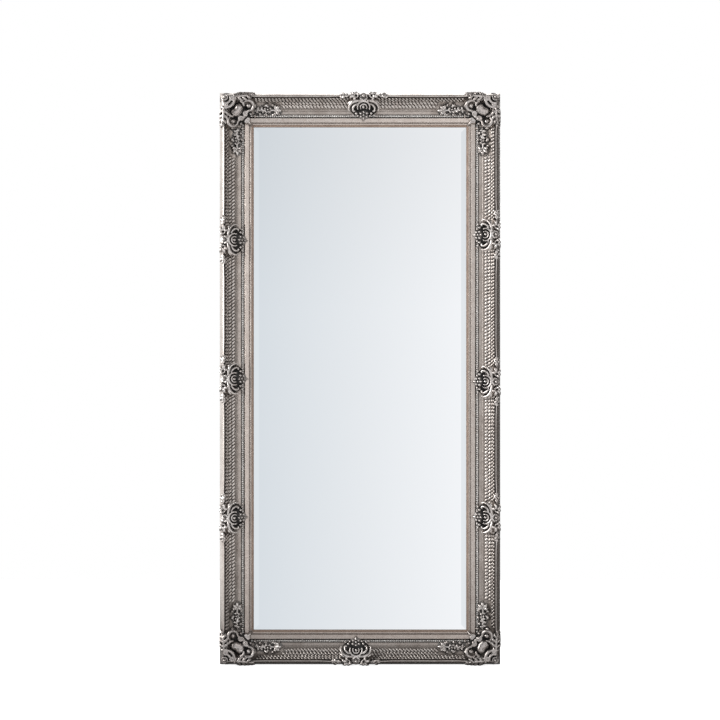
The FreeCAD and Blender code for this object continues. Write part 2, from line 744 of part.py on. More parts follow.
def spray_members(turned):
    """The forms of a spray, in the corner frame, lying along X in the cove or turned to lie along Y."""
    line = "Sizes.spray_inset"
    lie = f"{D_COVE_FOOT} + Sizes.spray_rise"
    end = "Sizes.spray_start + Sizes.spray_length"
    flower_at = "Sizes.spray_start + Sizes.spray_length / 2"
    members = [
        spike(turned(("Sizes.spray_start", line, lie)), turned((end, line, lie)),
              "Sizes.spray_stem_radius", "Sizes.spray_stem_radius / 2"),
        ball(turned((end, line, lie)), "Sizes.spray_heart_radius"),
    ]
    for at in ("Sizes.spray_start", flower_at):
        petals = (at, line, f"{lie} + Sizes.spray_petal_rise")
        heart = (at, line, f"{lie} + Sizes.spray_heart_rise")
        members.append(ring(turned(petals), "Sizes.spray_flower_radius",
                            "Sizes.spray_petal_radius"))
        members.append(ball(turned(heart), "Sizes.spray_heart_radius"))
    run = "Sizes.spray_leaf_length * cos(Sizes.spray_leaf_angle * 1deg)"
    reach = "Sizes.spray_leaf_length * sin(Sizes.spray_leaf_angle * 1deg)"
    for share in SPRAY_LEAF_SHARES:
        root_u = f"Sizes.spray_start + {share} * Sizes.spray_length"
        for sign, rise in (("-", "Sizes.spray_leaf_rise"), ("+", "0 * Sizes.spray_leaf_rise")):
            tip = (f"{root_u} + {run}", f"{line} {sign} {reach}", f"{lie} + {rise}")
            members.append(spike(turned((root_u, line, lie)), turned(tip),
                                 "Sizes.spray_leaf_radius", "Sizes.leaf_tip_radius"))
    return members


def carve(name, members, x_low, x_high, y_high, bed, bed_placement):
    """Join an ornament's forms, keep them within its envelope and seat them on the mouldings.

    The envelope is flat on the frame's outer edge, so that the ornaments on the bottom rail stand
    on the floor with it, and starts above the pilot holes. The bed is the mouldings under the
    ornament, moved into its frame.
    """
    joined = DOCUMENT.addObject("Part::MultiFuse", f"{name}_joined")
    joined.Shapes = members
    envelope = DOCUMENT.addObject("Part::Box", f"{name}_envelope")
    bind(envelope, Length=f"({x_high}) - ({x_low})", Width=y_high,
         Height=f"Sizes.relief_height - ({D_BAND})")
    place(envelope, Rotation(), x_low, "0 * Sizes.frame_width", D_BAND)
    trimmed = DOCUMENT.addObject("Part::Common", f"{name}_trimmed")
    trimmed.Base = joined
    trimmed.Tool = envelope
    seat = group(f"{name}_bed", bed)
    seat.Placement = bed_placement
    carved = DOCUMENT.addObject("Part::Cut", f"{name}_carved")
    carved.Base = trimmed
    carved.Tool = seat
    DOCUMENT.recompute()
    return carved


def make_ornaments(rails, slips):
    """The cast ornaments: one shape for all cartouches, one for the corners, one for sprays."""
    corner_turn, corner_x, corner_z, _, _ = CORNERS["bottom_left"]
    corner_frame = Placement(Vector(value(corner_x), value(BACK_Y), value(corner_z)),
                             upright(corner_turn))
    cartouche_at = along_side("bottom", CARTOUCHES["bottom"]["cartouche_bottom"], "0", "0")
    cartouche_frame = Placement(Vector(*[value(axis) for axis in cartouche_at]), upright(0))
    straight_bed = [rails["bottom"], slips["bottom"]]
    corner_bed = straight_bed + [rails["left"], slips["left"]]
    wide = f"Sizes.leaf_tip_offset + {ENVELOPE_SPARE}"
    cartouche = carve("cartouche", cartouche_members(), f"-({wide})", wide, W_SIGHT,
                      straight_bed, cartouche_frame.inverse())
    broad = f"Sizes.corner_leaf_length + {ENVELOPE_SPARE}"
    corner = carve("corner", corner_members(), "0 * Sizes.frame_width", broad, broad,
                   corner_bed, corner_frame.inverse())
    spray_end = f"Sizes.spray_start + Sizes.spray_length + {ENVELOPE_SPARE}"
    corner_edge = "0 * Sizes.frame_width"
    spray = carve("spray", spray_members(kept), corner_edge, spray_end, W_SIGHT, straight_bed,
                  corner_frame.inverse())
    spray_turned = carve("spray_turned", spray_members(swapped), corner_edge, W_SIGHT, spray_end,
                         [rails["left"], slips["left"]], corner_frame.inverse())
    nodes = []
    for side, stations in CARTOUCHES.items():
        for name, u in stations.items():
            nodes.append(copy_of(name, cartouche, upright(SIDES[side][0]),
                                 *along_side(side, u, "0 * Sizes.frame_width",
                                             "0 * Sizes.frame_width")))
    for corner_name, (turn, x, z, first_side, second_side) in CORNERS.items():
        nodes.append(copy_of(f"corner_{corner_name}", corner, upright(turn), x, BACK_Y, z))
        nodes.append(copy_of(f"spray_{corner_name}_on_{first_side}", spray, upright(turn), x,
                             BACK_Y, z))
        nodes.append(copy_of(f"spray_{corner_name}_on_{second_side}", spray_turned,
                             upright(turn), x, BACK_Y, z))
    return nodes


# --- back fittings -----------------------------------------------------------------------------

def make_screw():
    """A slotted pan-head screw on its axis Z, the underside of its head at Z = 0."""
    body = new_body("Screw")
    sketch = new_sketch(body, "YZ_Plane")
    axis = "0 * Sizes.screw_radius"
    draw_outline(sketch, [
        (axis, "-Sizes.screw_head_height"),
        ("Sizes.screw_crown_radius", "-Sizes.screw_head_height"),
        ("Sizes.screw_head_radius", "-Sizes.screw_rim_height"),
        ("Sizes.screw_head_radius", axis),
        ("Sizes.screw_radius", axis),
        ("Sizes.screw_radius", "Sizes.screw_length - Sizes.screw_point_length"),
        (axis, "Sizes.screw_length"),
    ])
    turned = body.newObject("PartDesign::Revolution", "Turned")
    turned.Profile = sketch
    turned.ReferenceAxis = (sketch, ["V_Axis"])
    turned.Angle = 360
    DOCUMENT.recompute()
    slot = new_sketch(body, "XY_Plane", "-Sizes.screw_head_height")
    half_width = "Sizes.screw_slot_width / 2"
    half_length = f"Sizes.screw_head_radius + {CUT_MARGIN}"
    draw_outline(slot, rectangle(f"-({half_length})", f"-{half_width}", half_length, half_width))
    pocket(body, slot, "Sizes.screw_slot_depth")
    return body


def make_brace():
    """A flat steel angle over a mitre, in the corner frame, under the rails' backs."""
    body = new_body("Brace")
    sketch = new_sketch(body, "XY_Plane")
    low = "Sizes.brace_inset"
    high = f"{low} + Sizes.brace_arm_length"
    inner = f"{low} + Sizes.brace_arm_width"
    draw_outline(sketch, [
        (low, low), (high, low), (high, inner), (inner, inner), (inner, high), (low, high),
    ])
    pad(body, sketch, "Sizes.brace_thickness", along_normal=False)
    holes = new_sketch(body, "XY_Plane")
    for along in BRACE_SCREWS:
        for x, y in ((along, BRACE_LINE), (BRACE_LINE, along)):
            draw_circle(holes, x, y, "Sizes.screw_radius + Sizes.screw_hole_play")
    pocket(body, holes, along_normal=False)
    return body


def in_corner(corner, u, v, d):
    """Expressions for the place of a point that is given in a corner frame."""
    _, x, z, _, _ = CORNERS[corner]
    y = f"{BACK_Y} - ({d})"
    return {
        "bottom_left": (f"{x} + ({u})", y, f"{z} + ({v})"),
        "top_left": (f"{x} + ({v})", y, f"{z} - ({u})"),
        "top_right": (f"{x} - ({u})", y, f"{z} - ({v})"),
        "bottom_right": (f"{x} - ({v})", y, f"{z} + ({u})"),
    }[corner]


def make_strap():
    """A strap hanger on its hinge axis X, its tongue hanging down against the rail."""
    body = new_body("Strap")
    back = "-Sizes.eye_stand"
    tongue = new_sketch(body, "XZ_Plane", f"-({back})")
    half = "Sizes.strap_width / 2"
    round_start = "-Sizes.strap_length + Sizes.strap_end_bow"
    level = "0 * Sizes.strap_length"
    draw_outline(tongue, [
        (half, level), (f"-{half}", level), (f"-{half}", round_start, "-Sizes.strap_end_bow"),
        (half, round_start),
    ])
    pad(body, tongue, "Sizes.strap_thickness", along_normal=False)
    screw_hole = new_sketch(body, "XZ_Plane", f"-({back})")
    draw_circle(screw_hole, level, "-Sizes.strap_screw_drop",
                "Sizes.screw_radius + Sizes.screw_hole_play")
    pocket(body, screw_hole, along_normal=False)
    eye = new_sketch(body, "YZ_Plane")
    draw_circle(eye, level, level, "Sizes.ring_wire_radius + Sizes.ring_play + Sizes.eye_wall")
    pad(body, eye, "Sizes.strap_width", symmetric=True)
    bore = new_sketch(body, "YZ_Plane", f"-({half}) - {CUT_MARGIN}")
    draw_circle(bore, level, level, "Sizes.ring_wire_radius + Sizes.ring_play")
    pocket(body, bore)
    return body


def make_ring():
    """A D-ring hanging from its hinge axis X: a straight bar, two legs and a half-round bow."""
    bend = "Sizes.ring_bend_radius"
    wire = "Sizes.ring_wire_radius"
    level = "0 * Sizes.frame_width"
    bow = DOCUMENT.addObject("Part::Torus", "Bow")
    bow.Angle3 = 180
    bind(bow, Radius1=bend, Radius2=wire)
    place(bow, Rotation(Vector(1, 0, 0), -90), level, level, "-Sizes.ring_leg")
    bar = DOCUMENT.addObject("Part::Cylinder", "Bar")
    bind(bar, Radius=wire, Height=f"2 * {bend}")
    place(bar, Rotation(Vector(0, 1, 0), 90), f"-{bend}", level, level)
    members = [bow, bar]
    for x in (bend, f"-{bend}"):
        members.append(post((x, level, "-Sizes.ring_leg"), wire, "Sizes.ring_leg"))
        members.append(ball((x, level, level), wire))
    joined = DOCUMENT.addObject("Part::MultiFuse", "Ring_joined")
    joined.Shapes = members
    return joined


def make_fittings():
    """Corner braces, strap hangers with D-rings, their screws, and the felt pads."""
    screw = make_screw()
    brace = make_brace()
    strap = make_strap()
    hanging_ring = make_ring()
    nodes, brace_screws, hanger_screws, bumpers = [], [], [], []
    for corner, (turn, x, z, _, _) in CORNERS.items():
        nodes.append(copy_of(f"brace_{corner}", brace, upright(turn), x, BACK_Y, z))
        for along in BRACE_SCREWS:
            for u, v in ((along, BRACE_LINE), (BRACE_LINE, along)):
                at = in_corner(corner, u, v, "-Sizes.brace_thickness")
                brace_screws.append(copy_of("BraceScrew", screw, upright(turn), *at))
        pad_disc = DOCUMENT.addObject("Part::Cylinder", "FeltPad")
        bind(pad_disc, Radius="Sizes.bumper_radius", Height="Sizes.bumper_thickness")
        place(pad_disc, upright(turn), *in_corner(
            corner, "Sizes.bumper_inset", "Sizes.bumper_inset", "-Sizes.bumper_thickness"))
        bumpers.append(pad_disc)
    for side, sign in (("left", ""), ("right", "-")):
        x = f"{sign}(-Sizes.frame_width / 2 + Sizes.hanger_inset)"
        pivot = (x, f"{BACK_Y} + Sizes.eye_stand", "Sizes.hanger_height")
        nodes.append(copy_of(f"strap_{side}", strap, Rotation(), *pivot))
        nodes.append(copy_of(f"d_ring_{side}", hanging_ring, Rotation(), *pivot))
        screw_at = (x, f"{BACK_Y} + Sizes.strap_thickness",
                    "Sizes.hanger_height - Sizes.strap_screw_drop")
        hanger_screws.append(copy_of("HangerScrew", screw, upright(0), *screw_at))
    nodes.append(group("brace_screws", brace_screws))
    nodes.append(group("hanger_screws", hanger_screws))
    nodes.append(group("wall_bumpers", bumpers))
    return nodes


# --- the whole mirror --------------------------------------------------------------------------

GROUP_COUNTS = {"glazing_blades": 16, "brace_screws": 16, "hanger_screws": 2, "wall_bumpers": 4}


def check_document():
    """Stop if any object of the document failed to compute."""
    for thing in DOCUMENT.Objects:
        if "Invalid" in thing.State or "Error" in thing.State:
            raise RuntimeError(f"{thing.Label}: {thing.State}")


def check_node(node):
    """Stop if a sub-part's shape is missing, broken or not in as many pieces as it should be."""
    shape = node.Shape
    if shape.isNull() or not shape.isValid():
        raise RuntimeError(f"{node.Label}: shape is null or not valid")
    wanted = GROUP_COUNTS.get(node.Label, 1)
    if len(shape.Solids) != wanted:
        raise RuntimeError(f"{node.Label}: {len(shape.Solids)} solids, not {wanted}")


def main():
    """Build every sub-part, check it and write its file."""
    rails = {side: make_rail(side) for side in SIDES}
    slips = {side: make_slip(side) for side in SIDES}
    nodes = list(rails.values()) + list(slips.values())
    nodes.append(make_glass())
    nodes.append(make_pane("backing_board", "Sizes.board_clearance", BOARD_BACK,
                           "Sizes.board_thickness"))
    nodes.append(make_blades())
    nodes += make_ornaments(rails, slips)
    nodes += make_fittings()
    DOCUMENT.recompute()
    check_document()
    for node in nodes:
        check_node(node)
    os.makedirs("parts", exist_ok=True)
    for node in nodes:
        node.Shape.exportStep(os.path.join("parts", f"{node.Label}.step"))
        box = node.Shape.BoundBox
        print(f"{node.Label}: {len(node.Shape.Solids)} solid(s), {node.Shape.Volume:.0f} mm3,"
              f" x {box.XMin:.1f}..{box.XMax:.1f}, y {box.YMin:.1f}..{box.YMax:.1f},"
              f" z {box.ZMin:.1f}..{box.ZMax:.1f}")
    print(f"{len(nodes)} sub-parts")


main()
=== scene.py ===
"""Leaning floor mirror: its swept, silvered frame, cast ornaments and bevelled glass.

Each side of the frame is dressed in its own rail frame, in millimetres: u along the rail from its
middle, w inwards from the frame's outer edge and d outwards from the rail's back. A corner frame
has its u and w along the two outer edges that meet there. Pieces are placed in metres, +Z up.
"""
import logging
import math
from collections.abc import Callable, Iterable, Sequence
from dataclasses import dataclass, field
from enum import Enum, IntEnum
from typing import Any

import bpy
import numpy as np
from mathutils import Matrix, Vector


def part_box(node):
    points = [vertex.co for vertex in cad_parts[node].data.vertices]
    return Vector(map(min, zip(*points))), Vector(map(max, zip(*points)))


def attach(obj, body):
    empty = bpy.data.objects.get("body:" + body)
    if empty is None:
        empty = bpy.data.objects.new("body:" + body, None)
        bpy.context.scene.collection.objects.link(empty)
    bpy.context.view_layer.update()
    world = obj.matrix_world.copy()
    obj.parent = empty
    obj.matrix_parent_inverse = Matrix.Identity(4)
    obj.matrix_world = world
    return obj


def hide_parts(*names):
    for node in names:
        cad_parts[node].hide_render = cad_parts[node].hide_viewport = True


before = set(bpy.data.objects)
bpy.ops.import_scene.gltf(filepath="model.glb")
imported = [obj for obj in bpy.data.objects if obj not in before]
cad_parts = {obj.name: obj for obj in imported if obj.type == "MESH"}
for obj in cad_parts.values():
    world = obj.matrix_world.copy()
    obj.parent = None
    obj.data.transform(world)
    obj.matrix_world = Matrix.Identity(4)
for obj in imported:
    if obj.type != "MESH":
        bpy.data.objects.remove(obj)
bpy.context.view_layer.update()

LOG = logging.getLogger("floor_mirror")
MM = 0.001
Point = tuple[float, ...]
Fold = Callable[[float, float], tuple[float, float]]


class Skin(IntEnum):
    """What a face of a moulding is dressed in: the number of its material slot."""

    LEAF = 0
    BARE = 1
    WASHED = 2
    # A dark line of painted shade under the crown's step, over its wash.
    LINE = 3


LEAF, BARE, WASHED, LINE = Skin


# --- the plan of the frame ---------------------------------------------------------------------

class Side(Enum):
    """A side of the frame, with the directions of its rail frame's u and w."""

    BOTTOM = ("bottom", (1, 0, 0), (0, 0, 1))
    LEFT = ("left", (0, 0, -1), (1, 0, 0))
    TOP = ("top", (-1, 0, 0), (0, 0, -1))
    RIGHT = ("right", (0, 0, 1), (-1, 0, 0))

    def __init__(self, label: str, along: tuple, inwards: tuple) -> None:
        """Keep the side's name and its two directions."""
        self.label = label
        self.along = along
        self.inwards = inwards


class Corner(Enum):
    """A corner of the frame: the side that its u runs along, and the one that its w runs along."""

    BOTTOM_LEFT = (Side.BOTTOM, Side.LEFT, (-0.5, 0.0))
    TOP_LEFT = (Side.LEFT, Side.TOP, (-0.5, 1.0))
    TOP_RIGHT = (Side.TOP, Side.RIGHT, (0.5, 1.0))
    BOTTOM_RIGHT = (Side.RIGHT, Side.BOTTOM, (0.5, 0.0))

    def __init__(self, first: Side, second: Side, share: tuple[float, float]) -> None:
        """Keep the corner's two sides and its place as shares of the width and height."""
        self.first = first
        self.second = second
        self.share = share


@dataclass(frozen=True)
class Plan:
    """The frame's outer sizes and the plane of its back, in millimetres."""

    width: float
    height: float
    back: float

    @classmethod
    def from_frame(cls) -> "Plan":
        """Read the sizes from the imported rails."""
        low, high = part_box("rail_left")
        _, right_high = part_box("rail_right")
        return cls((right_high.x - low.x) / MM, (high.z - low.z) / MM, high.y / MM)

    def length(self, side: Side) -> float:
        """Outer length of a side's rail."""
        return self.height if side in (Side.LEFT, Side.RIGHT) else self.width

    def lay(self, side: Side, x: float, z: float) -> Matrix:
        """Matrix that takes a rail frame in millimetres to its place in metres.

        Args:
            side: the side whose directions the frame has.
            x: the frame's origin across, in millimetres.
            z: the frame's origin up, in millimetres.

        Returns:
            The placing matrix.
        """
        turn = Matrix((side.along, side.inwards, (0, -1, 0))).transposed().to_4x4()
        return Matrix.Translation(Vector((x, self.back, z)) * MM) @ turn @ Matrix.Scale(MM, 4)

    def rail(self, side: Side, u: float = 0.0) -> Matrix:
        """Place of a side's rail frame, moved along the rail by u millimetres."""
        x, z = {
            Side.BOTTOM: (u, 0.0),
            Side.LEFT: (-self.width / 2, self.height / 2 - u),
            Side.TOP: (-u, self.height),
            Side.RIGHT: (self.width / 2, self.height / 2 + u),
        }[side]
        return self.lay(side, x, z)

    def corner(self, corner: Corner) -> Matrix:
        """Place of a corner frame."""
        across, up = corner.share
        return self.lay(corner.first, across * self.width, up * self.height)

    def cartouches(self, side: Side) -> dict[str, float]:
        """The cartouche nodes of a side, with where each one stands along its rail frame."""
        home = self.rail(side).inverted()
        places = {}
        for node in sorted(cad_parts):
            if node.startswith("cartouche_" + side.label):
                low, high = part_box(node)
                places[node] = (home @ ((low + high) / 2)).x
        return places


# --- nodes and finishes ------------------------------------------------------------------------

MATH = "ShaderNodeMath"
MIX = "ShaderNodeMix"
RANGE = "ShaderNodeMapRange"
NOISE = "ShaderNodeTexNoise"
BUMP = "ShaderNodeBump"
COLOURS = {"data_type": "RGBA"}


def linear(code: str) -> tuple[float, float, float, float]:
    """Turn an sRGB hex colour such as "#c8beb6" to linear RGBA."""
    parts = [int(code[i:i + 2], 16) / 255 for i in (1, 3, 5)]
    values = [p / 12.92 if p <= 0.04045 else ((p + 0.055) / 1.055) ** 2.4 for p in parts]
    return (*values, 1.0)


def socket(sockets: Any, key: str | int) -> Any:
    """The shown socket with a name, or the one at an index."""
    if isinstance(key, int):
        return sockets[key]
    return next(s for s in sockets if s.name == key and s.enabled)


def wire(tree: Any, node: Any, inputs: dict) -> None:
    """Give a node's inputs their values or links, by name or index."""
    for key, value in inputs.items():
        if isinstance(value, bpy.types.NodeSocket):
            tree.links.new(value, socket(node.inputs, key))
        else:
            socket(node.inputs, key).default_value = value


def add(tree: Any, kind: str, settings: dict | None = None, links: dict | None = None,
        out: str | int = 0) -> Any:
    """Add a node to a tree.

    Args:
        tree: the node tree.
        kind: the node's type name.
        settings: properties of the node.
        links: values or output sockets for its inputs, by name or index.
        out: the output to return, by name or index.

    Returns:
        The chosen output socket, or the node if it has no output.
    """
    node = tree.nodes.new(kind)
    for name, value in (settings or {}).items():
        setattr(node, name, value)
    wire(tree, node, links or {})
    return socket(node.outputs, out) if len(node.outputs) else node


def new_material(name: str) -> tuple[Any, Any, Any]:
    """A new material, its tree and its Principled shader."""
    material = bpy.data.materials.new(name)
    material.use_nodes = True
    tree = material.node_tree
    shader = next(n for n in tree.nodes if n.type == "BSDF_PRINCIPLED")
    return material, tree, shader


@dataclass(frozen=True)
class SilverLeaf:
    """Aluminium leaf on gesso, rubbed and toned with umber wash, then waxed.

    The leaf is bright on the crests, greyed and warm where the bole shows through, and the wash
    stays in every recess, so carving reads as black and near-white. On carved pieces it also pools
    by the attribute "sunk", how many millimetres a place lies under the crests about it. Near the
    floor the colour is also mixed towards the wash colour as painted shade, darker towards the
    bottom. Mottle, rub and fleck are noise: grain in millimetres, detail and roughness.
    """

    name: str
    leaf: str = "#e3dbd4"
    worn: str = "#a3928a"
    # Umber wash for recesses and flecks; the same colour is also the painted shade mixed in near
    # the floor.
    wash: str = "#171310"
    recess_mm: float = 7.0
    wash_start: float = 0.9
    wash_end: float = 0.5
    metal: float = 0.9
    gloss_rough: float = 0.24
    blotches: float = 0.45
    floor_shade: float = 0.38
    carved: bool = False
    mottle: Point = (34.0, 5.0, 0.6)
    rub: Point = (5.0, 4.0, 0.65)
    fleck: Point = (1.6, 2.0, 0.5)
    pool_mm: Point = (1.5, 9.0)
    floor_shade_band: Point = (0.07, 0.3)

    def make(self) -> Any:
        """Build the material."""
        material, tree, shader = new_material(self.name)
        where = add(tree, "ShaderNodeTexCoord", {}, {}, "Object")
        mottle, rub, flecks = (
            add(tree, NOISE, {}, {"Vector": where, "Scale": 1.0 / (grain_mm * MM),
                                  "Detail": detail, "Roughness": rough})
            for grain_mm, detail, rough in (self.mottle, self.rub, self.fleck))
        openness = add(tree, "ShaderNodeAmbientOcclusion", {"samples": 6},
                       {"Distance": self.recess_mm * MM}, "AO")
        washed = add(tree, RANGE, {}, {0: openness, 1: self.wash_end, 2: self.wash_start, 3: 1.0,
                                       4: 0.0})
        if self.carved:
            sunk = add(tree, "ShaderNodeAttribute", {"attribute_name": "sunk"}, {}, "Fac")
            pooled = add(tree, RANGE, {}, {0: sunk, 1: self.pool_mm[0], 2: self.pool_mm[1]})
            washed = add(tree, MATH, {"operation": "MAXIMUM"}, {0: washed, 1: pooled})
        tarnish = add(tree, RANGE, {}, {0: mottle, 1: 0.42, 2: 0.66, 4: self.blotches})
        rubbed = add(tree, RANGE, {}, {0: rub, 1: 0.45, 2: 0.7, 4: 0.55})
        wear = add(tree, MATH, {"operation": "MAXIMUM"}, {0: tarnish, 1: rubbed})
        fleck = add(tree, RANGE, {}, {0: flecks, 1: 0.6, 2: 0.75, 4: 0.6})
        height = add(tree, "ShaderNodeSeparateXYZ", {}, {0: where}, "Z")
        # Painted shade: the colour darkens towards the floor, by height, in the wash colour.
        foot = add(tree, RANGE, {}, {0: height, 1: self.floor_shade_band[0], 2: self.floor_shade_band[1],
                                     3: self.floor_shade, 4: 0.0})
        colour = linear(self.leaf)
        for share, paint in ((wear, self.worn), (fleck, self.wash), (foot, self.wash),
                             (washed, self.wash)):
            colour = add(tree, MIX, COLOURS, {"Factor": share, "A": colour, "B": linear(paint)},
                         "Result")
        dulled = add(tree, MATH, {"operation": "MULTIPLY_ADD"},
                     {0: wear, 1: 0.22, 2: self.gloss_rough})
        wire(tree, shader, {
            "Base Color": colour,
            "Metallic": add(tree, RANGE, {}, {0: washed, 3: self.metal, 4: 0.15}),
            "Roughness": add(tree, MATH, {"operation": "MULTIPLY_ADD"},
                             {0: washed, 1: 0.35, 2: dulled}),
            "Normal": add(tree, BUMP, {}, {"Strength": 0.35, "Distance": 0.25 * MM, "Height": rub}),
        })
        return material


@dataclass(frozen=True)
class Grained:
    """A plain material: a figure in two colours, and a fine tooth that roughens and dents it.

    Figure and tooth are noise: grain in millimetres, detail and roughness. Each is stretched along
    the axes of the coordinates, which are Object or, for wood, the rail's own run in UV.
    """

    name: str
    light: str
    dark: str
    figure: Point
    share: Point
    tooth: Point
    rough: Point
    dent: Point
    figure_stretch: Point = (1.0, 1.0, 1.0)
    tooth_stretch: Point = (1.0, 1.0, 1.0)
    coordinates: str = "Object"
    cloud_mm: float = 0.0
    metal: float = 0.0
    sheen: float = 0.0

    def make(self) -> Any:
        """Build the material."""
        material, tree, shader = new_material(self.name)
        where = add(tree, "ShaderNodeTexCoord", {}, {}, self.coordinates)
        figure, tooth = (
            add(tree, NOISE, {}, {
                "Vector": add(tree, "ShaderNodeMapping", {}, {"Vector": where, "Scale": stretch}),
                "Scale": 1.0 / (grain_mm * MM), "Detail": detail, "Roughness": rough})
            for (grain_mm, detail, rough), stretch in ((self.figure, self.figure_stretch),
                                                       (self.tooth, self.tooth_stretch)))
        share = add(tree, RANGE, {}, {0: figure, 1: self.share[0], 2: self.share[1]})
        colour = add(tree, MIX, COLOURS,
                     {"Factor": share, "A": linear(self.light), "B": linear(self.dark)}, "Result")
        if self.cloud_mm:
            clouds = add(tree, NOISE, {}, {"Vector": where, "Scale": 1.0 / (self.cloud_mm * MM),
                                           "Detail": 3.0, "Roughness": 0.5})
            shade = add(tree, RANGE, {}, {0: clouds, 1: 0.3, 2: 0.7, 4: 0.35})
            colour = add(tree, MIX, COLOURS,
                         {"Factor": shade, "A": colour, "B": linear(self.dark)}, "Result")
        low, high = self.rough
        strength, depth_mm = self.dent
        wire(tree, shader, {
            "Base Color": colour,
            "Metallic": self.metal,
            "Roughness": low if low == high else
            add(tree, RANGE, {}, {0: tooth, 1: 0.3, 2: 0.7, 3: low, 4: high}),
            "Sheen Weight": self.sheen,
            "Normal": add(tree, BUMP, {}, {"Strength": strength, "Distance": depth_mm * MM,
                                           "Height": tooth}),
        })
        return material


@dataclass(frozen=True)
class MirrorPlate:
    """Silvered float glass: a clear polished reflection in front, grey backing paint behind."""

    name: str
    silver: str = "#f4f7f8"
    paint: str = "#59605f"

    def make(self) -> Any:
        """Build the material."""
        material, tree, shader = new_material(self.name)
        normal = add(tree, "ShaderNodeNewGeometry", {}, {}, "Normal")
        facing = add(tree, "ShaderNodeSeparateXYZ", {}, {0: normal}, "Y")
        backed = add(tree, RANGE, {}, {0: facing, 1: 0.4, 2: 0.6})
        wire(tree, shader, {
            "Base Color": add(tree, MIX, COLOURS, {"Factor": backed, "A": linear(self.silver),
                                                   "B": linear(self.paint)}, "Result"),
            "Metallic": add(tree, RANGE, {}, {0: backed, 3: 1.0, 4: 0.0}),
            "Roughness": add(tree, RANGE, {}, {0: backed, 4: 0.6}),
        })
        return material


FINISHES = {
    # Leaf on the slope and crown: bright, with broad tarnish and wash only in its seams.
    "moulding": SilverLeaf("silver_leaf_moulding"),
    # The cove's ground, where most of the wash was left: a dull warm grey.
    "cove": SilverLeaf("washed_leaf_cove", leaf="#beb4ac", worn="#75675e", gloss_rough=0.35),
    # The undercut beside the crown: a dark line of painted shade, where the crown's step casts
    # shadow, over its wash.
    "line": SilverLeaf("umber_wash_line", leaf="#41362f", worn="#2a221d", metal=0.2,
                       gloss_rough=0.5),
    # Strands rubbed bright on top, black between.
    "weave": SilverLeaf("silver_leaf_weave", recess_mm=4.0),
    # Pearls of pale, nearly white leaf.
    "pearl": SilverLeaf("silver_leaf_pearl", leaf="#fbf8f4", worn="#cfc5bd", recess_mm=1.2,
                        metal=0.35),
    # The sight bead, toned with a warm glaze that hides the leaf's shine.
    "sight": SilverLeaf("toned_leaf_sight", leaf="#a58f80", worn="#7b6253", recess_mm=3.0,
                        metal=0.1, gloss_rough=0.55),
    # The slip's band: softer, warmer leaf with little tarnish.
    "slip": SilverLeaf("silver_leaf_slip", leaf="#d3c8bf", worn="#97857a", wash="#3a2a23",
                       recess_mm=4.0, blotches=0.3),
    # Cast ornaments: burnished crests over black grounds.
    "ornament": SilverLeaf("silver_leaf_ornament", leaf="#efe9e4", recess_mm=6.5,
                           wash_start=0.92, wash_end=0.48, gloss_rough=0.18, floor_shade=0.18,
                           carved=True),
    # The corners' broader forms: the ornament's leaf darkened a little further, as painted shade.
    "corner": SilverLeaf("toned_leaf_corner", leaf="#d8d1cc", worn="#8d7d75", recess_mm=7.0,
                         wash_start=0.94, wash_end=0.5, gloss_rough=0.18, floor_shade=0.22,
                         carved=True),
    # Planed pine, stained dark and left matt, with its grain along the rail.
    "pine": Grained("stained_pine", "#7a563a", "#46301f", (3.0, 5.0, 0.6), (0.35, 0.65),
                    (0.8, 2.0, 0.5), (0.55, 0.8), (0.4, 0.2), figure_stretch=(0.06, 1.0, 1.0),
                    tooth_stretch=(0.06, 1.0, 1.0), coordinates="UV"),
    "glass": MirrorPlate("silvered_glass"),
    # Tempered hardboard: pressed brown fibre with dark flecks, clouds and a rough mesh face.
    "board": Grained("hardboard", "#8f6a45", "#5f4229", (2.2, 6.0, 0.7), (0.4, 0.68),
                     (2.2, 6.0, 0.7), (0.5, 0.75), (0.5, 0.15), cloud_mm=90.0),
    # Pressed mild steel, zinc plated: cool grey spangle with upright handling marks.
    "zinc": Grained("zinc_plated_steel", "#b9bcc0", "#83878c", (2.5, 4.0, 0.6), (0.35, 0.65),
                    (0.8, 2.0, 0.5), (0.28, 0.5), (0.2, 0.05), tooth_stretch=(1.0, 1.0, 0.2),
                    metal=0.95),
    # Pressed wool felt: matt brown fibres with a soft sheen.
    "felt": Grained("wool_felt", "#4a3c31", "#6b5a4b", (0.7, 5.0, 0.7), (0.4, 0.65),
                    (0.7, 5.0, 0.7), (0.95, 0.95), (0.7, 0.3), sheen=0.4),
}


# --- meshes ------------------------------------------------------------------------------------

def shown(name: str, data: Any) -> Any:
    """An object of a mesh, lamp or camera, linked to the scene."""
    item = bpy.data.objects.new(name, data)
    bpy.context.scene.collection.objects.link(item)
    return item


def new_object(name: str, points: Any, faces: Any) -> Any:
    """A mesh object from points and faces, linked to the scene."""
    mesh = bpy.data.meshes.new(name)
    mesh.from_pydata([tuple(p) for p in points], [], [tuple(f) for f in faces])
    mesh.update()
    return shown(name, mesh)


def soften(mesh: Any, angle: float = 0.7) -> None:
    """Shade a mesh smooth but for edges sharper than an angle."""
    mesh.polygons.foreach_set("use_smooth", [True] * len(mesh.polygons))
    mesh.set_sharp_from_angle(angle=angle)


def settled(source: Any) -> Any:
    """The plain mesh that an object's modifiers make; the object itself is removed."""
    graph = bpy.context.evaluated_depsgraph_get()
    mesh = bpy.data.meshes.new_from_object(source.evaluated_get(graph))
    old = source.data
    bpy.data.objects.remove(source)
    bpy.data.meshes.remove(old)
    return mesh


def seat(name: str, mesh: Any, nodes: Sequence[str], slot: str, body: str = "frame") -> Any:
    """Show a finished mesh as a piece of the mirror.

    Args:
        name: the piece's name.
        mesh: its mesh, in place.
        nodes: the CAD nodes that it stands for.
        slot: not used.
        body: the body that it rides on.

    Returns:
        The piece.
    """
    mesh.name = name
    piece = shown(name, mesh)
    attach(piece, body)
    if nodes:
        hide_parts(*nodes)
    LOG.info("%s: %d faces", name, len(mesh.polygons))
    return piece


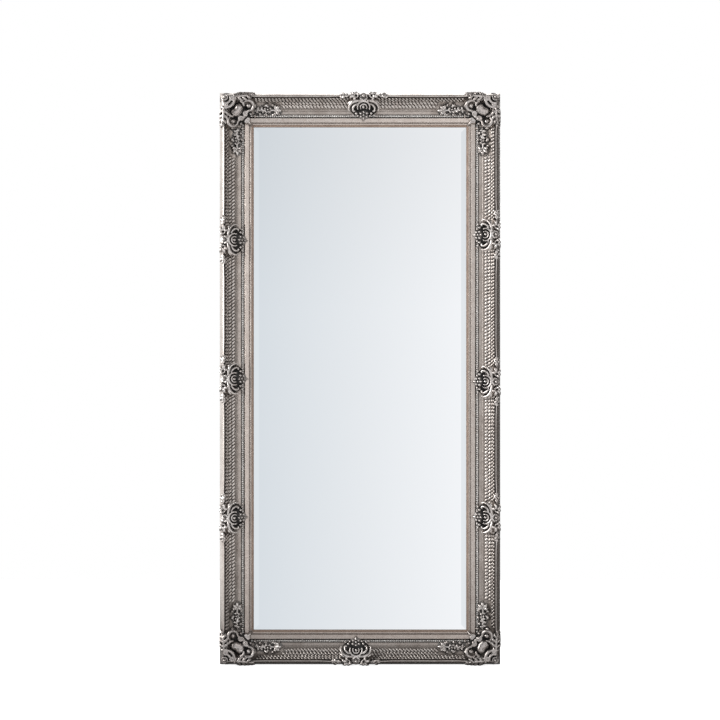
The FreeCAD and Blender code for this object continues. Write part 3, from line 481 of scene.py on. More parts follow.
def curve_through(points: Sequence[Point], steps: int) -> np.ndarray:
    """A smooth curve through points of any dimension.

    Args:
        points: the points that the curve passes.
        steps: how many samples each span has.

    Returns:
        The samples, one row each.
    """
    known = np.array(points, float)
    ends = np.vstack([2 * known[0] - known[1], known, 2 * known[-1] - known[-2]])
    share = np.linspace(0, 1, steps, endpoint=False)[:, None]
    rows = []
    for i in range(1, len(ends) - 2):
        a, b, c, e = ends[i - 1], ends[i], ends[i + 1], ends[i + 2]
        rows.append(0.5 * (2 * b + (c - a) * share + (2 * a - 5 * b + 4 * c - e) * share ** 2
                           + (3 * b - a - 3 * c + e) * share ** 3))
    rows.append(known[-1][None])
    return np.vstack(rows)


# --- mouldings ---------------------------------------------------------------------------------

@dataclass(frozen=True)
class RailSection:
    """The rail's section in millimetres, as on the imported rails, with softened edges."""

    side_height: float = 26.0
    slope: Point = (9.0, 46.0)
    crown: Point = (13.0, 50.0)
    ridge: Point = (17.6, 48.0)
    cove_top: Point = (18.6, 43.0)
    cove_foot: Point = (47.0, 20.0)
    cove_sag: float = 6.0
    band_end: Point = (61.0, 17.0)
    seat_depth: float = 15.0
    pearl_line: float = 65.75
    pearl_seat: float = 17.0
    ledge: float = 71.0
    rebate: Point = (87.0, 12.0)
    bite: float = 8.0
    bite_half: float = 110.0

    def cove(self, share: float) -> tuple[Point, Point]:
        """A point of the cove and the direction that it faces, from its top (0) to its foot (1)."""
        top, foot = np.array(self.cove_top), np.array(self.cove_foot)
        chord = foot - top
        length = float(np.hypot(*chord))
        radius = (length ** 2 / 4 + self.cove_sag ** 2) / (2 * self.cove_sag)
        outwards = np.array((-chord[1], chord[0])) / length
        centre = (top + foot) / 2 + outwards * (radius - self.cove_sag)
        start = math.atan2(*(top - centre)[::-1])
        end = math.atan2(*(foot - centre)[::-1])
        angle = start + (end - start) * share
        facing = (-math.cos(angle), -math.sin(angle))
        return (centre[0] - radius * facing[0], centre[1] - radius * facing[1]), facing

    def outline(self, bitten: float) -> list[tuple[float, float, int]]:
        """The closed section, anticlockwise from the back's outer edge.

        Args:
            bitten: how far the ridge's inner face is drawn back here.

        Returns:
            Points (w, d, skin): skin is LEAF, BARE, WASHED or LINE, for the face that starts
            there.
        """
        crown_w = self.crown[0] - 0.25 * bitten
        ridge_w = self.ridge[0] - bitten
        shelf = self.cove_top[0] - bitten
        cove = [(*self.cove(share)[0], WASHED if share else LINE)
                for share in (0.0, 0.035, *(step / 14 for step in range(1, 15)))]
        return [
            (0.6, 0.0, BARE), (0.0, 0.6, LEAF), (0.0, self.side_height - 0.8, LEAF),
            (0.3, self.side_height, LEAF), (4.9, 37.0, LEAF), (self.slope[0] - 0.4, 44.9, LEAF),
            (self.slope[0] + 0.6, 46.6, LEAF), (crown_w - 1.0, 49.0, LEAF),
            # The dark skin from the crown's inner edge to the cove's top is painted shade under the
            # crown's step.
            (crown_w + 0.4, 49.9, LEAF), (crown_w + 2.2, 49.6, LINE),
            (ridge_w - 0.6, 48.2, LINE), (ridge_w + 0.1, 47.4, LINE), (shelf, 43.2, LINE),
            *cove[:-1],
            (47.2, 20.5, WASHED), (48.6, 21.4, WASHED), (50.2, 21.2, LEAF), (51.4, 20.0, WASHED),
            (51.8, 18.7, WASHED), (self.band_end[0] - 0.4, 17.0, LEAF),
            (self.band_end[0], 16.6, LEAF), (self.band_end[0] + 0.2, self.seat_depth, LEAF),
            (63.0, self.seat_depth, LEAF), (63.2, self.pearl_seat, LEAF),
            (68.3, self.pearl_seat, LEAF), (68.5, self.seat_depth, LEAF),
            (self.ledge, self.seat_depth, BARE), (self.ledge, self.rebate[1], BARE),
            (self.rebate[0], self.rebate[1], BARE), (self.rebate[0], 0.6, BARE),
            (self.rebate[0] - 0.6, 0.0, BARE),
        ]


@dataclass(frozen=True)
class SlipSection:
    """The slip's section in millimetres: flat band, groove and sight bead beside the glass."""

    start: float = 71.0
    seat: float = 12.0
    band_start: Point = (72.5, 20.0)
    band_end: Point = (84.0, 18.0)
    bead_start: float = 86.0
    bead_end: float = 92.0
    bead_seat: float = 16.5
    bead_height: float = 2.4
    sight: Point = (97.0, 14.0)

    def outline(self) -> list[tuple[float, float, int]]:
        """The closed section, anticlockwise from its underside's outer edge."""
        bead = []
        middle = (self.bead_start + self.bead_end) / 2
        half = (self.bead_end - self.bead_start) / 2
        for step in range(11):
            angle = math.pi * (1 - step / 10)
            bead.append((middle + half * math.cos(angle),
                         self.bead_seat + self.bead_height * math.sin(angle),
                         LEAF if step < 7 else BARE))
        return [
            (self.start, self.seat, LEAF), (self.start, self.band_start[1] - 1.6, LEAF),
            (self.start + 0.5, self.band_start[1] - 0.6, LEAF),
            (self.band_start[0], self.band_start[1] - 0.1, LEAF),
            (self.band_start[0] + 4.0, 19.1, LEAF), (self.band_end[0] - 0.7, 18.05, LEAF),
            (self.band_end[0] - 0.1, 17.5, LEAF), (self.band_end[0] + 0.1, self.bead_seat, LEAF),
            *bead,
            (93.6, 15.5, BARE), (self.sight[0] - 0.5, 14.1, BARE),
            (self.sight[0] - 0.1, 13.6, BARE), (self.sight[0], self.seat, BARE),
        ]


@dataclass(frozen=True)
class BeadRow:
    """A line of beads along a side: its place in the section, its beads and where it stops."""

    w: float
    d: float
    facing: Point
    pitch: float
    phase: float
    size: Point
    from_corner: float
    clear: float


@dataclass
class Mouldings:
    """The four rails with their woven coves and pearl strings, and the four slips."""

    plan: Plan
    finishes: dict[str, Any]
    rail: RailSection = field(default_factory=RailSection)
    slip: SlipSection = field(default_factory=SlipSection)
    station_mm: float = 9.0
    strand: Point = (3.9, 7.6, 3.4)
    strand_lean: float = 0.78
    weave_pitch: float = 9.75
    pearl: Point = (2.8, 2.8, 2.9)
    pearl_pitch: float = 5.6
    spray_end: float = 184.0
    corner_end: float = 106.0
    cartouche_half: float = 45.0
    cartouches_at: dict[Side, list[float]] = field(default_factory=dict)

    def bitten(self, side: Side, u: float) -> float:
        """How far the ridge is drawn back at a place along a side."""
        half = self.plan.length(side) / 2
        runs = [abs(u - centre) / self.rail.bite_half
                for centre in (-half, half, *self.cartouches_at[side])]
        return max(0.0, self.rail.bite * (1 - min(runs) ** 2))

    def sweep(self, side: Side, outline: Callable[[float], list], roles: Sequence[str]) -> Any:
        """Sweep a section along a side, mitred at both ends, with UVs in metres.

        Args:
            side: the side of the frame.
            outline: the section at a place along the side.
            roles: the finishes of its skins, in their order.

        Returns:
            The mesh, in place.
        """
        length = self.plan.length(side)
        count = int(length / self.station_mm)
        shares = [-1 + 2 * step / count for step in range(count + 1)]
        rows = [outline(share * length / 2) for share in shares]
        points = [(share * (length / 2 - w), w, d)
                  for share, row in zip(shares, rows) for w, d, _ in row]
        around = len(rows[0])
        girths = np.cumsum([0.0] + [math.dist(rows[0][k][:2], rows[0][(k + 1) % around][:2])
                                    for k in range(around)])
        faces, skins, runs = [], [], []
        for step in range(count):
            for k in range(around):
                a, b = step * around + k, step * around + (k + 1) % around
                faces.append((a, b, b + around, a + around))
                skins.append(int(rows[0][k][2]))
                runs += [(points[a][0], girths[k]), (points[a][0], girths[k + 1]),
                         (points[a + around][0], girths[k + 1]), (points[a + around][0], girths[k])]
        faces.append(tuple(range(around))[::-1])
        faces.append(tuple(count * around + k for k in range(around)))
        skins += [int(BARE)] * 2
        runs += [(0.0, 0.0)] * (2 * around)
        mesh = bpy.data.meshes.new(side.label)
        mesh.from_pydata(points, [], faces)
        mesh.polygons.foreach_set("material_index", skins)
        layer = mesh.uv_layers.new(name="run")
        layer.data.foreach_set("uv", (np.array(runs) * MM).ravel())
        mesh.transform(self.plan.rail(side))
        mesh.flip_normals()
        soften(mesh, 0.5)
        for role in roles:
            mesh.materials.append(self.finishes[role])
        return mesh

    def spans(self, side: Side, row: BeadRow) -> list[Point]:
        """The runs of a line of beads between the ornaments of its side."""
        half = self.plan.length(side) / 2
        marks = [row.from_corner - half]
        for centre in self.cartouches_at[side]:
            marks += [centre - row.clear, centre + row.clear]
        marks.append(half - row.from_corner)
        return list(zip(marks[::2], marks[1::2]))

    def string_paths(self, side: Side, rows: Iterable[BeadRow]) -> Any:
        """Lines for strings of beads: loose edges with the attributes "facing" and "size"."""
        points, facings, sizes = [], [], []
        for row in rows:
            for low, high in self.spans(side, row):
                start = math.ceil(low / row.pitch - row.phase) * row.pitch + row.phase * row.pitch
                points += [(start, row.w, row.d), (high, row.w, row.d)]
                facings += [(0.0, *row.facing)] * 2
                sizes += [row.size] * 2
        mesh = bpy.data.meshes.new("string_paths")
        mesh.from_pydata(points, [(i, i + 1) for i in range(0, len(points), 2)], [])
        matrix = self.plan.rail(side)
        turn = matrix.to_3x3().normalized()
        for name, vectors in (("facing", [turn @ Vector(f) for f in facings]), ("size", sizes)):
            layer = mesh.attributes.new(name, "FLOAT_VECTOR", "POINT")
            layer.data.foreach_set("vector", [x for vector in vectors for x in vector])
        mesh.transform(matrix)
        return shown("string_paths", mesh)

    def weave_rows(self) -> list[BeadRow]:
        """The staggered lines of the woven strands that cross the cove."""
        rows = []
        for share, phase, across, along, near in (
                (0.09, 0.5, 0.85, 0.85, self.corner_end), (0.3, 0.0, 1.0, 1.0, self.corner_end),
                (0.54, 0.5, 1.1, 1.05, self.spray_end), (0.79, 0.0, 1.15, 1.1, self.spray_end)):
            (w, d), facing = self.rail.cove(share)
            rows.append(BeadRow(w, d, facing, self.weave_pitch, phase, (along, across, 1.0), near,
                                self.cartouche_half))
        return rows

    def build(self) -> None:
        """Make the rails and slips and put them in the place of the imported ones."""
        self.cartouches_at = {side: sorted(self.plan.cartouches(side).values()) for side in Side}
        pearl_row = BeadRow(self.rail.pearl_line, self.rail.pearl_seat, (0.0, 1.0),
                            self.pearl_pitch, 0.0, (1.0, 1.0, 1.0), self.rail.pearl_line + 2, 0.0)
        tree = bead_string()
        strings = (
            ("weave", self.weave_rows(), strand_bead("strand", self.strand, self.strand_lean),
             0.06, 0.08, "weave"),
            ("pearls", [pearl_row], strand_bead("pearl", self.pearl, 0.0), 0.12, 0.3, "pearl"))
        for side in Side:
            label = side.label
            mesh = self.sweep(side, lambda u: self.rail.outline(self.bitten(side, u)),
                              ("moulding", "pine", "cove", "line"))
            seat(f"moulding_{label}", mesh, [f"rail_{label}"], "silvered_moulding")
            mesh = self.sweep(side, lambda u: self.slip.outline(), ("slip", "sight"))
            seat(f"slip_{label}_strip", mesh, [f"slip_{label}"], "slip")
            for name, rows, bead, size_jitter, turn_jitter, role in strings:
                values = {"Bead": bead, "Pitch": rows[0].pitch * MM, "Size Jitter": size_jitter,
                          "Turn Jitter": turn_jitter, "Seed": 7, "Finish": self.finishes[role]}
                mesh = strung(self.string_paths(side, rows), tree, values)
                seat(f"{name}_{label}", mesh, [], "silvered_moulding")
        for string in strings:
            bpy.data.objects.remove(string[2])


def strand_bead(name: str, size: Point, lean: float) -> Any:
    """One bead of a string, of a few dozen faces.

    Args:
        name: the object's name.
        size: half its size along the string, half its size across and its height, in mm.
        lean: how far it is turned on the surface, in radians.

    Returns:
        The bead's object, in metres, unlinked from view.
    """
    half_width, half_length, height = size
    rings, around = 4, 10
    points = [(0.0, 0.0, height)]
    for ring in range(1, rings + 1):
        tilt = math.pi * ring / (rings + 1) * 0.72
        for k in range(around):
            turn = 2 * math.pi * k / around
            points.append((half_width * math.sin(tilt) * math.cos(turn),
                           half_length * math.sin(tilt) * math.sin(turn),
                           height * math.cos(tilt)))
    points.append((0.0, 0.0, -height * 0.6))
    faces = [(0, 1 + k, 1 + (k + 1) % around) for k in range(around)]
    for ring in range(rings - 1):
        for k in range(around):
            a, b = 1 + ring * around + k, 1 + ring * around + (k + 1) % around
            faces.append((a, a + around, b + around, b))
    last = 1 + (rings - 1) * around
    faces += [(last + (k + 1) % around, last + k, len(points) - 1) for k in range(around)]
    bead = new_object(name, points, faces)
    bead.data.transform(Matrix.Scale(MM, 4) @ Matrix.Rotation(lean, 4, "Z"))
    bead.hide_render = True
    return bead


def bead_string() -> Any:
    """Geometry Nodes tree that strings beads along lines.

    Returns:
        The tree, with the inputs Lines, Bead, Pitch, Size Jitter, Turn Jitter, Seed and Finish.
    """
    tree = bpy.data.node_groups.new("bead_string", "GeometryNodeTree")
    for name, kind in (("Lines", "Geometry"), ("Bead", "Object"), ("Pitch", "Float"),
                       ("Size Jitter", "Float"), ("Turn Jitter", "Float"), ("Seed", "Int"),
                       ("Finish", "Material")):
        tree.interface.new_socket(name, in_out="INPUT", socket_type="NodeSocket" + kind)
    tree.interface.new_socket("Beads", in_out="OUTPUT", socket_type="NodeSocketGeometry")
    given = tree.nodes.new("NodeGroupInput").outputs
    line = add(tree, "GeometryNodeMeshToCurve", {}, {0: given["Lines"]})
    spots = add(tree, "GeometryNodeCurveToPoints", {"mode": "LENGTH"},
                {"Curve": line, "Length": given["Pitch"]}).node
    facing, size = (add(tree, "GeometryNodeInputNamedAttribute", {"data_type": "FLOAT_VECTOR"},
                        {"Name": name}, "Attribute") for name in ("facing", "size"))
    upright = add(tree, "FunctionNodeAlignRotationToVector", {"axis": "Z"}, {"Vector": facing})
    along = add(tree, "FunctionNodeAlignRotationToVector", {"axis": "X", "pivot_axis": "Z"},
                {"Rotation": upright, "Vector": spots.outputs["Tangent"]})
    low_turn = add(tree, MATH, {"operation": "MULTIPLY"}, {0: given["Turn Jitter"], 1: -1.0})
    turn = add(tree, "FunctionNodeRandomValue", {"data_type": "FLOAT"},
               {"Min": low_turn, "Max": given["Turn Jitter"], "Seed": given["Seed"]}, "Value")
    spin = add(tree, "ShaderNodeCombineXYZ", {}, {"Z": turn})
    turned = add(tree, "FunctionNodeRotateRotation", {"rotation_space": "LOCAL"},
                 {"Rotation": along, "Rotate By": add(tree, "FunctionNodeEulerToRotation", {},
                                                      {0: spin})})
    least, most = (add(tree, MATH, {"operation": way}, {0: 1.0, 1: given["Size Jitter"]})
                   for way in ("SUBTRACT", "ADD"))
    grown = add(tree, "FunctionNodeRandomValue", {"data_type": "FLOAT"},
                {"Min": least, "Max": most, "Seed": given["Seed"]}, "Value")
    scale = add(tree, "ShaderNodeVectorMath", {"operation": "SCALE"}, {0: size, "Scale": grown})
    bead = add(tree, "GeometryNodeObjectInfo", {}, {"Object": given["Bead"]}, "Geometry")
    placed = add(tree, "GeometryNodeInstanceOnPoints", {},
                 {"Points": spots.outputs["Points"], "Instance": bead, "Rotation": turned,
                  "Scale": scale})
    real = add(tree, "GeometryNodeRealizeInstances", {}, {0: placed})
    smooth = add(tree, "GeometryNodeSetShadeSmooth", {}, {0: real})
    dressed = add(tree, "GeometryNodeSetMaterial", {},
                  {"Geometry": smooth, "Material": given["Finish"]})
    result = tree.nodes.new("NodeGroupOutput")
    tree.links.new(dressed, result.inputs["Beads"])
    return tree


def strung(paths: Any, tree: Any, values: dict[str, Any]) -> Any:
    """String beads along lines.

    Args:
        paths: the object of lines, which is used up.
        tree: the bead string tree.
        values: its inputs, by name.

    Returns:
        The beads as one plain mesh, in place.
    """
    modifier = paths.modifiers.new("beads", "NODES")
    modifier.node_group = tree
    for item in tree.interface.items_tree:
        if item.name in values and item.in_out == "INPUT":
            modifier[item.identifier] = values[item.name]
    return settled(paths)


# --- cast ornaments ----------------------------------------------------------------------------

@dataclass
class Clay:
    """Forms gathered over a ground, in millimetres, before they are cast as one ornament.

    The cast stops at the frame's outer edge, at its highest level and inside the rail's back.
    """

    ground: Callable[[float, float], float]
    edge: float = 0.5
    highest: float = 59.6
    back: float = 8.0
    points: list = field(default_factory=list)
    faces: list = field(default_factory=list)
    fold: Fold = lambda u, w: (u, w)

    def put(self, u: float, w: float, lift: float) -> np.ndarray:
        """A point that stands a lift above the ground, folded to its side of the ornament."""
        u, w = self.fold(u, w)
        return np.array((u, w, self.ground(u, w) + lift))

    def tube(self, rings: np.ndarray, start: np.ndarray, end: np.ndarray) -> None:
        """Join rings of points to a closed tube.

        Args:
            rings: rings by points by three.
            start: the point that closes the first ring.
            end: the point that closes the last ring.
        """
        base = len(self.points)
        count, around, _ = rings.shape
        self.points += [tuple(p) for p in rings.reshape(-1, 3)]
        self.points += [tuple(start), tuple(end)]
        for row in range(count - 1):
            for k in range(around):
                a = base + row * around + k
                b = base + row * around + (k + 1) % around
                self.faces.append((a, b, b + around, a + around))
        first, last = base + count * around, base + (count - 1) * around
        for k in range(around):
            following = (k + 1) % around
            self.faces.append((first, base + following, base + k))
            self.faces.append((first + 1, last + k, last + following))

    def lie(self, rows: np.ndarray) -> tuple[np.ndarray, np.ndarray, np.ndarray]:
        """Where a line of (u, w, lift) lies, the way that it runs and the way across it."""
        centres = np.array([self.put(*row[:3]) for row in rows])
        run = np.gradient(centres, axis=0)
        run /= np.linalg.norm(run, axis=1)[:, None] + 1e-9
        across = np.cross(run, (0.0, 0.0, 1.0))
        across /= np.linalg.norm(across, axis=1)[:, None] + 1e-9
        return centres, run, across

    def roll(self, path: Sequence[Point], steps: int = 7, root: float = 5.0) -> None:
        """A rib with a round back and deep sides, along a smooth line.

        Args:
            path: (u, w, lift, radius) of the points that the rib passes.
            steps: samples between two points.
            root: how deep the rib's sides go down.
        """
        rows = curve_through(path, steps)
        centres, run, across = self.lie(rows)
        radii = np.maximum(rows[:, 3], 0.35)
        up = np.cross(across, run)
        turns = np.linspace(0, 2 * math.pi, 12, endpoint=False)
        climb = np.sin(turns)[None, :]
        reach = np.where(climb > 0, radii[:, None] * climb,
                         np.maximum(radii, root)[:, None] * climb)
        rings = (centres[:, None] + across[:, None] * (radii[:, None] * np.cos(turns))[..., None]
                 + up[:, None] * reach[..., None])
        self.tube(rings, centres[0] - run[0] * radii[0] * 0.6,
                  centres[-1] + run[-1] * radii[-1] * 0.6)

    def ball(self, u: float, w: float, lift: float, size: Sequence[float] | float) -> None:
        """A ball, or an egg whose three half sizes are given."""
        half = np.array(size if isinstance(size, Sequence) else (size,) * 3, float)
        centre = self.put(u, w, lift)
        tilts = np.linspace(0, math.pi, 9)[1:-1]
        turns = np.linspace(0, 2 * math.pi, 14, endpoint=False)
        rings = np.array([[centre + half * (math.sin(t) * math.cos(k), math.sin(t) * math.sin(k),
                                            math.cos(t)) for k in turns] for t in tilts])
        self.tube(rings, centre + half * (0, 0, 1), centre - half * (0, 0, 1))

    def hoop(self, u: float, w: float, lift: float, radius: float, wire: float) -> None:
        """A closed ring lying on the ground."""
        turns = [2 * math.pi * step / 12 for step in range(13)]
        self.roll([(u + radius * math.cos(turn), w + radius * math.sin(turn), lift, wire)
                   for turn in turns], 3, wire)

    def volute(self, u: float, w: float, lift: float, radius: float, start: float, turns: float,
               wire: float) -> None:
        """A curl that winds in from its radius.

        Args:
            u: the curl's middle along the rail.
            w: its middle inwards.
            lift: its height above the ground.
            radius: its outer radius.
            start: the angle where it starts, in turns.
            turns: how many turns it makes, less than 0 for the other way.
            wire: its thickness at the start.
        """
        path = []
        for share in (step / 10 for step in range(11)):
            angle = 2 * math.pi * (start + turns * share)
            reach = radius * (1 - 0.72 * share)
            path.append((u + reach * math.cos(angle), w + reach * math.sin(angle),
                         lift + 1.4 * share, wire * (1 - 0.35 * share)))
        self.roll(path, 3)
        self.ball(u, w, lift + 1.0, wire * 1.15)

    def leaf(self, spine: Sequence[Point], lobes: int, camber: float, sweep_back: float,
             thick: float) -> None:
        """An acanthus leaf: a lobed, veined blade along a curved spine.

        Args:
            spine: (u, w, lift, half_width) along the midrib.
            lobes: how many lobes each edge has.
            camber: how far the blade's middle stands over its edges.
            sweep_back: how far the lobes lean towards the tip, as a share of the half width.
            thick: the blade's thickness.
        """
        rows = curve_through(spine, max(8, 5 * lobes // max(1, len(spine) - 1)))
        centres, run, across = self.lie(rows)
        shares = np.linspace(0, 1, len(rows))
        wave = np.abs(np.sin(math.pi * lobes * shares)) ** 0.6
        halves = np.maximum(rows[:, 3] * (0.62 + 0.38 * wave), 0.5)
        spans = np.linspace(-1, 1, 11)
        top, under = [], []
        for i, share in enumerate(shares):
            vein = np.cos(2 * math.pi * lobes * (share - 0.22 * np.abs(spans)) + math.pi)
            height = (camber * (1 - np.abs(spans) ** 1.6) + 0.75 * vein * np.abs(spans)
                      - 1.0 * np.exp(-(spans / 0.12) ** 2))
            sweep = np.abs(spans)[:, None] * sweep_back * halves[i] * run[i]
            row = centres[i] + across[i] * (spans * halves[i])[:, None] + sweep
            row[:, 2] += height
            top.append(row)
            lower = row.copy()
            lower[:, 2] -= thick
            under.append(lower[::-1])
        rings = np.concatenate([np.array(top), np.array(under)], axis=1)
        self.tube(rings, centres[0], centres[-1])

    def frond(self, spine: Sequence[Point], fingers: int, lean: float, wire: float) -> None:
        """A carved leaf: fingers that spring from both edges of a midrib over a thin blade.

        Args:
            spine: (u, w, lift, half_width) along the midrib.
            fingers: how many fingers each edge has.
            lean: the fingers' angle to the midrib, in radians.
            wire: the fingers' thickness at their root.
        """
        self.leaf([(u, w, lift - 8.0, half * 0.8) for u, w, lift, half in spine], 3, 1.5, 0.3, 6.0)
        self.roll([(u, w, lift + 0.4, wire * 0.75) for u, w, lift, _ in spine])
        rows = curve_through(spine, 24)
        run = np.gradient(rows[:, :2], axis=0)
        for finger in range(fingers):
            at = int((finger + 0.35) / fingers * (len(rows) - 1))
            u, w, lift, half = rows[at]
            size = wire * (0.65 + 0.35 * half / max(row[3] for row in spine))
            turn = math.atan2(run[at][1], run[at][0])
            for edge in (-1, 1):
                path = []
                for share, bend, rise, thin in ((0.1, 1.0, 0.0, 0.8), (0.6, 0.95, 1.0, 1.0),
                                                (1.15, 0.75, -0.8, 0.45)):
                    angle = turn + edge * lean * bend
                    path.append((u + half * share * math.cos(angle),
                                 w + half * share * math.sin(angle), lift + rise, size * thin))
                self.roll(path, 4, 8.0)

    def mat(self, spine: Sequence[Point], lift: float, thick: float = 6.0) -> None:
        """A sheet that lies close to the ground, along a line of (u, w, half_width)."""
        rings = [[self.put(u, w + side * half, level)
                  for level, sides in ((lift, np.linspace(1, -1, 9)),
                                       (lift - thick, np.linspace(-1, 1, 9))) for side in sides]
                 for u, w, half in curve_through(spine, 5)]
        self.tube(np.array(rings), np.mean(rings[0], axis=0), np.mean(rings[-1], axis=0))

    def petal(self, u: float, w: float, angle: float, near: float, far: float, half: float,
              lift: float) -> None:
        """A pointed blade that springs from a place.

        Args:
            u: the place along the rail.
            w: the place inwards.
            angle: the way that the blade points, in radians.
            near: how far from the place it starts.
            far: how far from the place it ends.
            half: half its width.
            lift: how high its middle arches.
        """
        spine = [(u + reach * math.cos(angle), w + reach * math.sin(angle), rise, width)
                 for reach, rise, width in ((near, lift - 3.4, half * 0.7),
                                            (near + 0.55 * (far - near), lift, half),
                                            (far, lift - 4.2, half * 0.35))]
        self.leaf(spine, 1, 2.2, 0.0, 7.5)

    def flower(self, u: float, w: float, lift: float, petal: float, turn: float) -> None:
        """An open flower of five pointed petals about a button."""
        for k in range(5):
            angle = turn + 2 * math.pi * k / 5
            self.petal(u, w, angle, petal * 0.5, petal * 1.9, petal * 0.5, lift)
        self.ball(u, w, lift + 0.6, petal * 0.42)

    def cast(self, name: str, voxel_mm: float, keep_u: bool) -> Any:
        """Fuse the forms to one closed skin.

        Args:
            name: the mesh's name.
            voxel_mm: the fineness of the skin.
            keep_u: whether the ornament also ends flat at u = 0, as a corner does.

        Returns:
            The mesh, in millimetres.
        """
        rough = np.array(self.points)
        rough[:, 1] = np.maximum(rough[:, 1], self.edge)
        rough[:, 2] = np.clip(rough[:, 2], self.back, self.highest)
        if keep_u:
            rough[:, 0] = np.maximum(rough[:, 0], self.edge)
        form = new_object(name, rough, self.faces)
        fuse = form.modifiers.new("fuse", "REMESH")
        fuse.mode = "VOXEL"
        fuse.voxel_size = voxel_mm
        relax = form.modifiers.new("relax", "SMOOTH")
        relax.factor = 0.5
        relax.iterations = 2
        mesh = settled(form)
        mesh.polygons.foreach_set("use_smooth", [True] * len(mesh.polygons))
        layer = mesh.attributes.new("sunk", "FLOAT", "POINT")
        layer.data.foreach_set("value", [self.ground(v.co.x, v.co.y) - v.co.z
                                         for v in mesh.vertices])
        return mesh


def shield(w: float) -> float:
    """Height of the raised ground that a cartouche or corner is modelled over."""
    share = min(max((w - 14.0) / 66.0, 0.0), 1.0)
    rise = 4.0 * math.sin(math.pi * share)
    slope = min(w / 12.0, 1.0)
    return 40.0 + 10.0 * slope - 27.0 * share + rise


